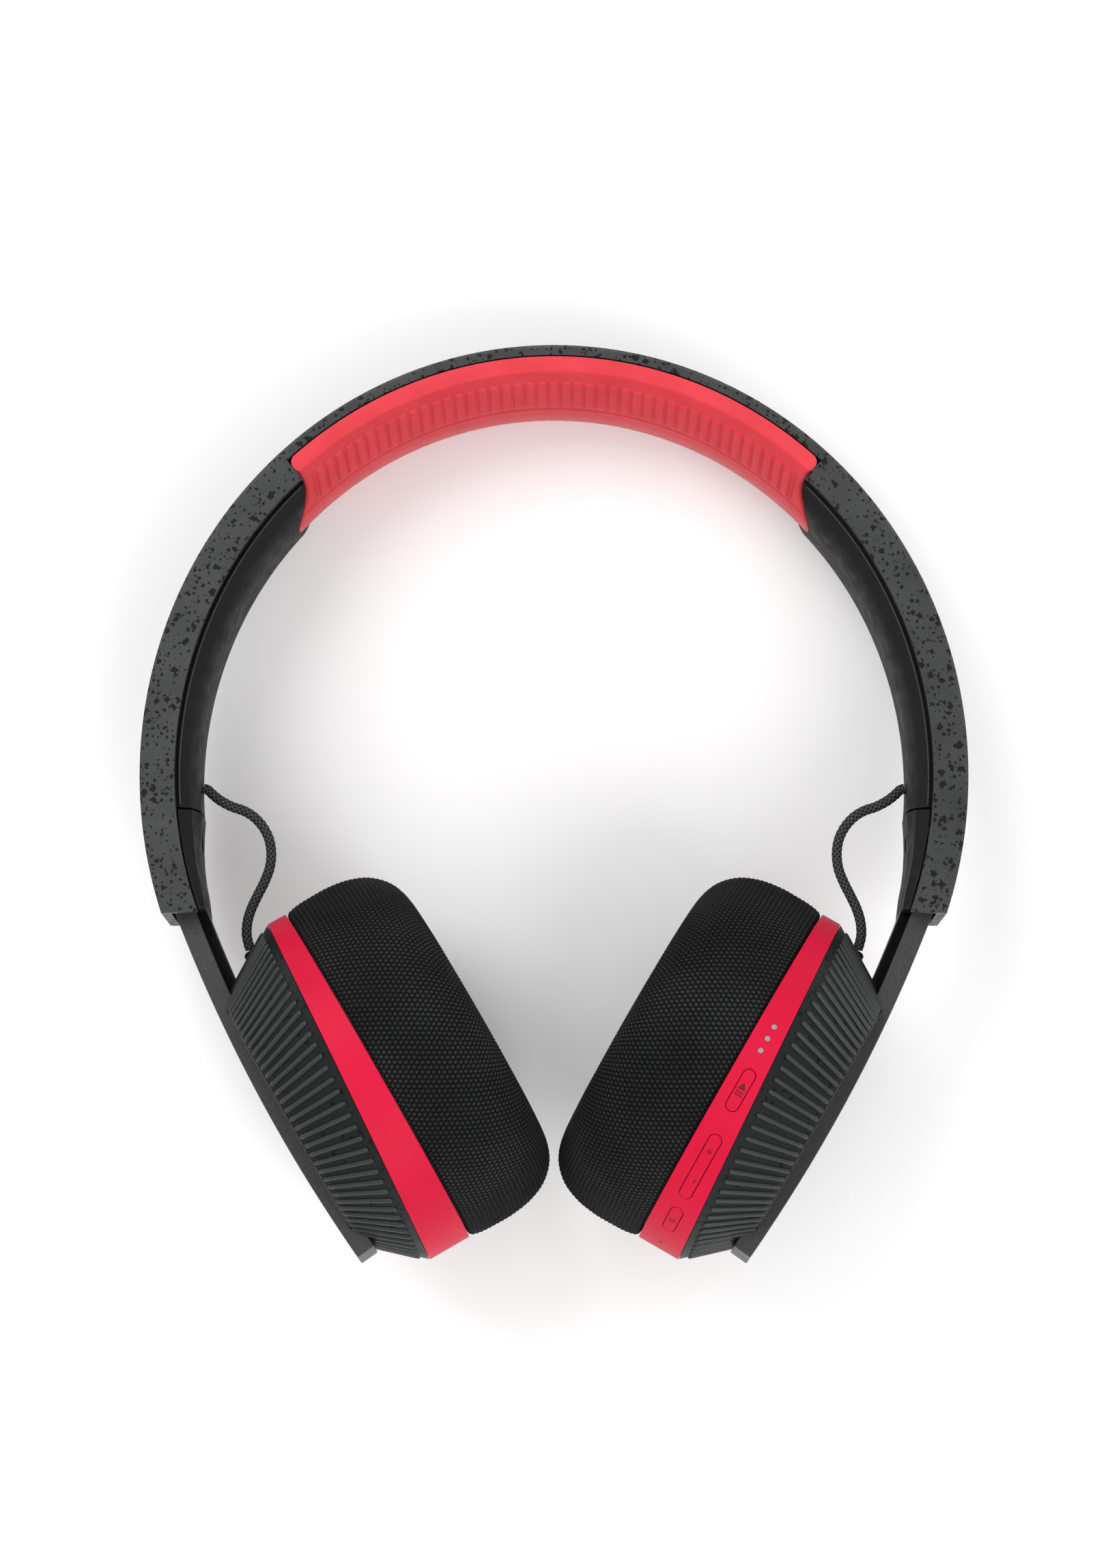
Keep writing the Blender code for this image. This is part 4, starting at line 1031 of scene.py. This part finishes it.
def make_cords(settings):
    """The braided cords: a tube whose wall follows its braid."""
    diameter = settings.cord_diameter
    for side, name in SIDES:
        route = [BAND @ Vector((side * x * MM, y * MM, z * MM)) for x, y, z in CORD_ROUTE]
        line = smooth_line([tuple(point) for point in route], 361)
        tangent = np.gradient(line, axis=0)
        tangent /= np.linalg.norm(tangent, axis=1, keepdims=True)
        up = np.array(BAND.to_3x3() @ Vector((0, 0, 1)))
        across = np.cross(tangent, up)
        across /= np.linalg.norm(across, axis=1, keepdims=True)
        over = np.cross(across, tangent)
        sides = 32
        turns = np.linspace(0, 2 * math.pi, sides, endpoint=False)
        length = float(np.linalg.norm(np.diff(line, axis=0), axis=1).sum())
        u = turns / (2 * math.pi) * STRANDS
        v = np.linspace(0, length / BRAID_PITCH, len(line))
        one = np.cos(2 * math.pi * (u[None, :] + v[:, None]))
        two = np.cos(2 * math.pi * (u[None, :] - v[:, None]))
        radius = diameter / 2 - 0.05 * MM * (1 - np.maximum(one, two))
        turned = np.cos(turns)[:, None] * across[:, None, :] + np.sin(turns)[:, None] * over[:, None, :]
        grid = line[:, None, :] + radius[..., None] * turned
        corner_u = np.arange(sides + 1) / sides * STRANDS
        uv = np.stack(np.meshgrid(v, corner_u, indexing="ij"), axis=2)[..., ::-1]
        mesh = surface(f"{name}_braided_cord", grid, Matrix.Identity(4), uv=uv)
        obj = finished(f"{name}_braided_cord", mesh, [LOOKS["braid"]], None, angle=70)
        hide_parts(name + "_cord")
        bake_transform(obj)


def make_fittings():
    """Finishes for the pieces whose own shape is right."""
    steel = inner_finish("fitting_steel", (0.25, 0.25, 0.26), 0.38, 1.0)
    dark_steel = inner_finish("dark_screw", (0.03, 0.03, 0.03), 0.4, 1.0)
    black = inner_finish("moulded_black", (0.018, 0.018, 0.018), 0.55)
    nylon = inner_finish("natural_nylon", (0.55, 0.55, 0.52), 0.5)
    film = inner_finish("diaphragm_film", (0.5, 0.5, 0.48), 0.4)
    board = inner_finish("board_green", (0.01, 0.1, 0.04), 0.45)
    kinds = (
        ("end_cover_screw", dark_steel),
        ("screw", steel),
        ("end_cover", LOOKS["liner_plastic"]),
        ("gland", LOOKS["cone_plastic"]),
        ("ear_screen", LOOKS["screen_cloth"]),
        ("carriage", nylon),
        ("diaphragm", film),
        ("board", board),
        ("light_pipe", LOOKS["light_lens"]),
        ("spring_band", steel),
        ("magnet", steel),
        ("charging_port", steel),
        ("microphone", dark_steel),
    )
    for name, obj in frame["nodes"].items():
        finish = next((material for word, material in kinds if word in name), black)
        for slot in obj.material_slots:
            slot.material = finish
        if name.endswith("end_cover"):
            bevelled(obj, 0.3 * MM, 2)


def screen_cloth():
    """Fine woven cloth, by its own place in space."""
    graph = Graph("screen_cloth", (0.012, 0.012, 0.012), 0.8, Specular_IOR_Level=0.1)
    weave = graph.add("TexVoronoi", {"Vector": graph.coords(), "Scale": 1500.0}).outputs["Distance"]
    # Darker towards the sunk edges of the cells: painted shade between the threads
    graph.paint(graph.mix(graph.steps(weave, 0.0, 0.7), (0.022, 0.022, 0.022), (0.003, 0.003, 0.003)))
    graph.bump(weave, -0.0002, 0.7)
    return graph.material


def make_stage():
    scene = bpy.context.scene
    scene.view_settings.view_transform = "Standard"
    mesh = bpy.data.meshes.new("floor")
    size = 3.0
    corners = [(-size, -size, 0), (size, -size, 0), (size, size, 0), (-size, size, 0)]
    mesh.from_pydata(corners, [], [(0, 1, 2, 3)])
    floor = bpy.data.objects.new("floor", mesh)
    bpy.context.collection.objects.link(floor)
    paint = bpy.data.materials.new("floor_paint")
    paint.use_nodes = True
    shader = paint.node_tree.nodes["Principled BSDF"]
    shader.inputs["Base Color"].default_value = (0.9, 0.9, 0.9, 1)
    shader.inputs["Roughness"].default_value = 0.9
    shader.inputs["Specular IOR Level"].default_value = 0.0
    mesh.materials.append(paint)
    world = bpy.data.worlds.new("studio")
    world.use_nodes = True
    world.node_tree.nodes["Background"].inputs["Color"].default_value = (1, 1, 1, 1)
    world.node_tree.nodes["Background"].inputs["Strength"].default_value = 0.92
    scene.world = world
    for name, place, size, power in (
        ("key", (-0.55, 0.65, 1.0), 0.9, 8.0),
        ("fill", (0.45, -0.6, 0.95), 0.9, 6.0),
    ):
        lamp = bpy.data.lights.new(name, "AREA")
        lamp.shape = "DISK"
        lamp.size = size
        lamp.energy = power
        obj = bpy.data.objects.new(name, lamp)
        obj.location = place
        obj.rotation_euler = (Vector((0, 0, 0.02)) - Vector(place)).to_track_quat("-Z", "Y").to_euler()
        bpy.context.collection.objects.link(obj)
    camera = bpy.data.cameras.new("camera")
    camera.lens = 114.7
    camera.sensor_width = 36
    camera.clip_start = 0.01
    camera.dof.use_dof = False
    obj = bpy.data.objects.new("camera", camera)
    obj.location = (0.0, 4.2 * MM, 1.1025)
    bpy.context.collection.objects.link(obj)
    scene.camera = obj


# The add-on

class HeadphonesSettings(bpy.types.PropertyGroup):
    stitch_pitch: FloatProperty(
        name="Stitch pitch",
        description="Distance between the stitches round a cushion",
        default=1.15 * MM,
        unit="LENGTH",
    )
    pad_rib_pitch: FloatProperty(
        name="Pad rib pitch",
        description="Distance between the ribs along the head pad",
        default=2.57 * MM,
        unit="LENGTH",
    )
    cone_ribs: IntProperty(
        name="Cone ribs",
        description="Number of ribs round each cup's back",
        default=88,
    )
    cord_diameter: FloatProperty(
        name="Cord diameter",
        description="Diameter of each braided cord",
        default=2.2 * MM,
        unit="LENGTH",
    )
    rim_colour: FloatVectorProperty(
        name="Rim colour",
        description="Colour of the rims and the controls",
        default=(0.54, 0.0045, 0.035),
        subtype="COLOR",
    )
    pad_colour: FloatVectorProperty(
        name="Pad colour",
        description="Colour of the pad on the band",
        default=(0.6, 0.034, 0.048),
        subtype="COLOR",
    )


class StageOperator(bpy.types.Operator):
    """Make the floor, the lights and the camera"""

    bl_idname = "headphones.stage"
    bl_label = "Stage"

    def execute(self, context):
        make_stage()
        return {"FINISHED"}


class FinishesOperator(bpy.types.Operator):
    """Make the materials that several pieces share"""

    bl_idname = "headphones.finishes"
    bl_label = "Finishes"

    def execute(self, context):
        red_plastic(tuple(context.scene.headphones.rim_colour))
        for make in (arm_plastic, rail_painted_shade, symbol_paint_and_hole_shade, light_lens, knit_fabric, braid, screen_cloth):
            make()
        return {"FINISHED"}


class BandOperator(bpy.types.Operator):
    """Make the band's casing, its inner cover and the light beads along the cover's edges, which are a
    painted highlight
    """

    bl_idname = "headphones.band"
    bl_label = "Band"

    def execute(self, context):
        make_band_shell()
        make_band_liner()
        return {"FINISHED"}


class PadOperator(bpy.types.Operator):
    """Make the ribbed pad on the band"""

    bl_idname = "headphones.pad"
    bl_label = "Head pad"

    def execute(self, context):
        make_head_pad(context.scene.headphones)
        return {"FINISHED"}


class ArmsOperator(bpy.types.Operator):
    """Make the two curved arms with their rails"""

    bl_idname = "headphones.arms"
    bl_label = "Arms"

    def execute(self, context):
        make_arms()
        return {"FINISHED"}


class CupsOperator(bpy.types.Operator):
    """Make the cups' ribbed backs"""

    bl_idname = "headphones.cups"
    bl_label = "Cup backs"

    def execute(self, context):
        make_cup_shells(context.scene.headphones)
        return {"FINISHED"}


class RimsOperator(bpy.types.Operator):
    """Make the cups' rims and the status lights"""

    bl_idname = "headphones.rims"
    bl_label = "Rims"

    def execute(self, context):
        make_rims()
        return {"FINISHED"}


class ControlsOperator(bpy.types.Operator):
    """Make the buttons and the rocker in the right rim"""

    bl_idname = "headphones.controls"
    bl_label = "Controls"

    def execute(self, context):
        make_controls()
        return {"FINISHED"}


class CushionsOperator(bpy.types.Operator):
    """Make the knitted ear cushions"""

    bl_idname = "headphones.cushions"
    bl_label = "Ear cushions"

    def execute(self, context):
        make_cushions(context.scene.headphones)
        return {"FINISHED"}


class CordsOperator(bpy.types.Operator):
    """Make the two braided cords"""

    bl_idname = "headphones.cords"
    bl_label = "Cords"

    def execute(self, context):
        make_cords(context.scene.headphones)
        return {"FINISHED"}


class FittingsOperator(bpy.types.Operator):
    """Give the fittings and inner pieces their finishes"""

    bl_idname = "headphones.fittings"
    bl_label = "Fittings"

    def execute(self, context):
        make_fittings()
        return {"FINISHED"}


STEPS = (
    StageOperator,
    FinishesOperator,
    CordsOperator,
    BandOperator,
    PadOperator,
    ArmsOperator,
    CupsOperator,
    RimsOperator,
    ControlsOperator,
    CushionsOperator,
    FittingsOperator,
)


class HeadphonesPanel(bpy.types.Panel):
    """The settings, and a button for each step"""

    bl_idname = "VIEW3D_PT_headphones"
    bl_label = "Headphones"
    bl_space_type = "VIEW_3D"
    bl_region_type = "UI"
    bl_category = "Headphones"

    def draw(self, context):
        settings = context.scene.headphones
        for name in HeadphonesSettings.__annotations__:
            self.layout.prop(settings, name)
        for step in STEPS:
            self.layout.operator(step.bl_idname)


CLASSES = (HeadphonesSettings, *STEPS, HeadphonesPanel)


def register():
    for cls in CLASSES:
        bpy.utils.register_class(cls)
    bpy.types.Scene.headphones = PointerProperty(type=HeadphonesSettings)


def unregister():
    del bpy.types.Scene.headphones
    for cls in reversed(CLASSES):
        bpy.utils.unregister_class(cls)


def main():
    register()
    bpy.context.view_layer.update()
    for step in STEPS:
        group, name = step.bl_idname.split(".")
        getattr(getattr(bpy.ops, group), name)()


if __name__ == "__main__":
    main()
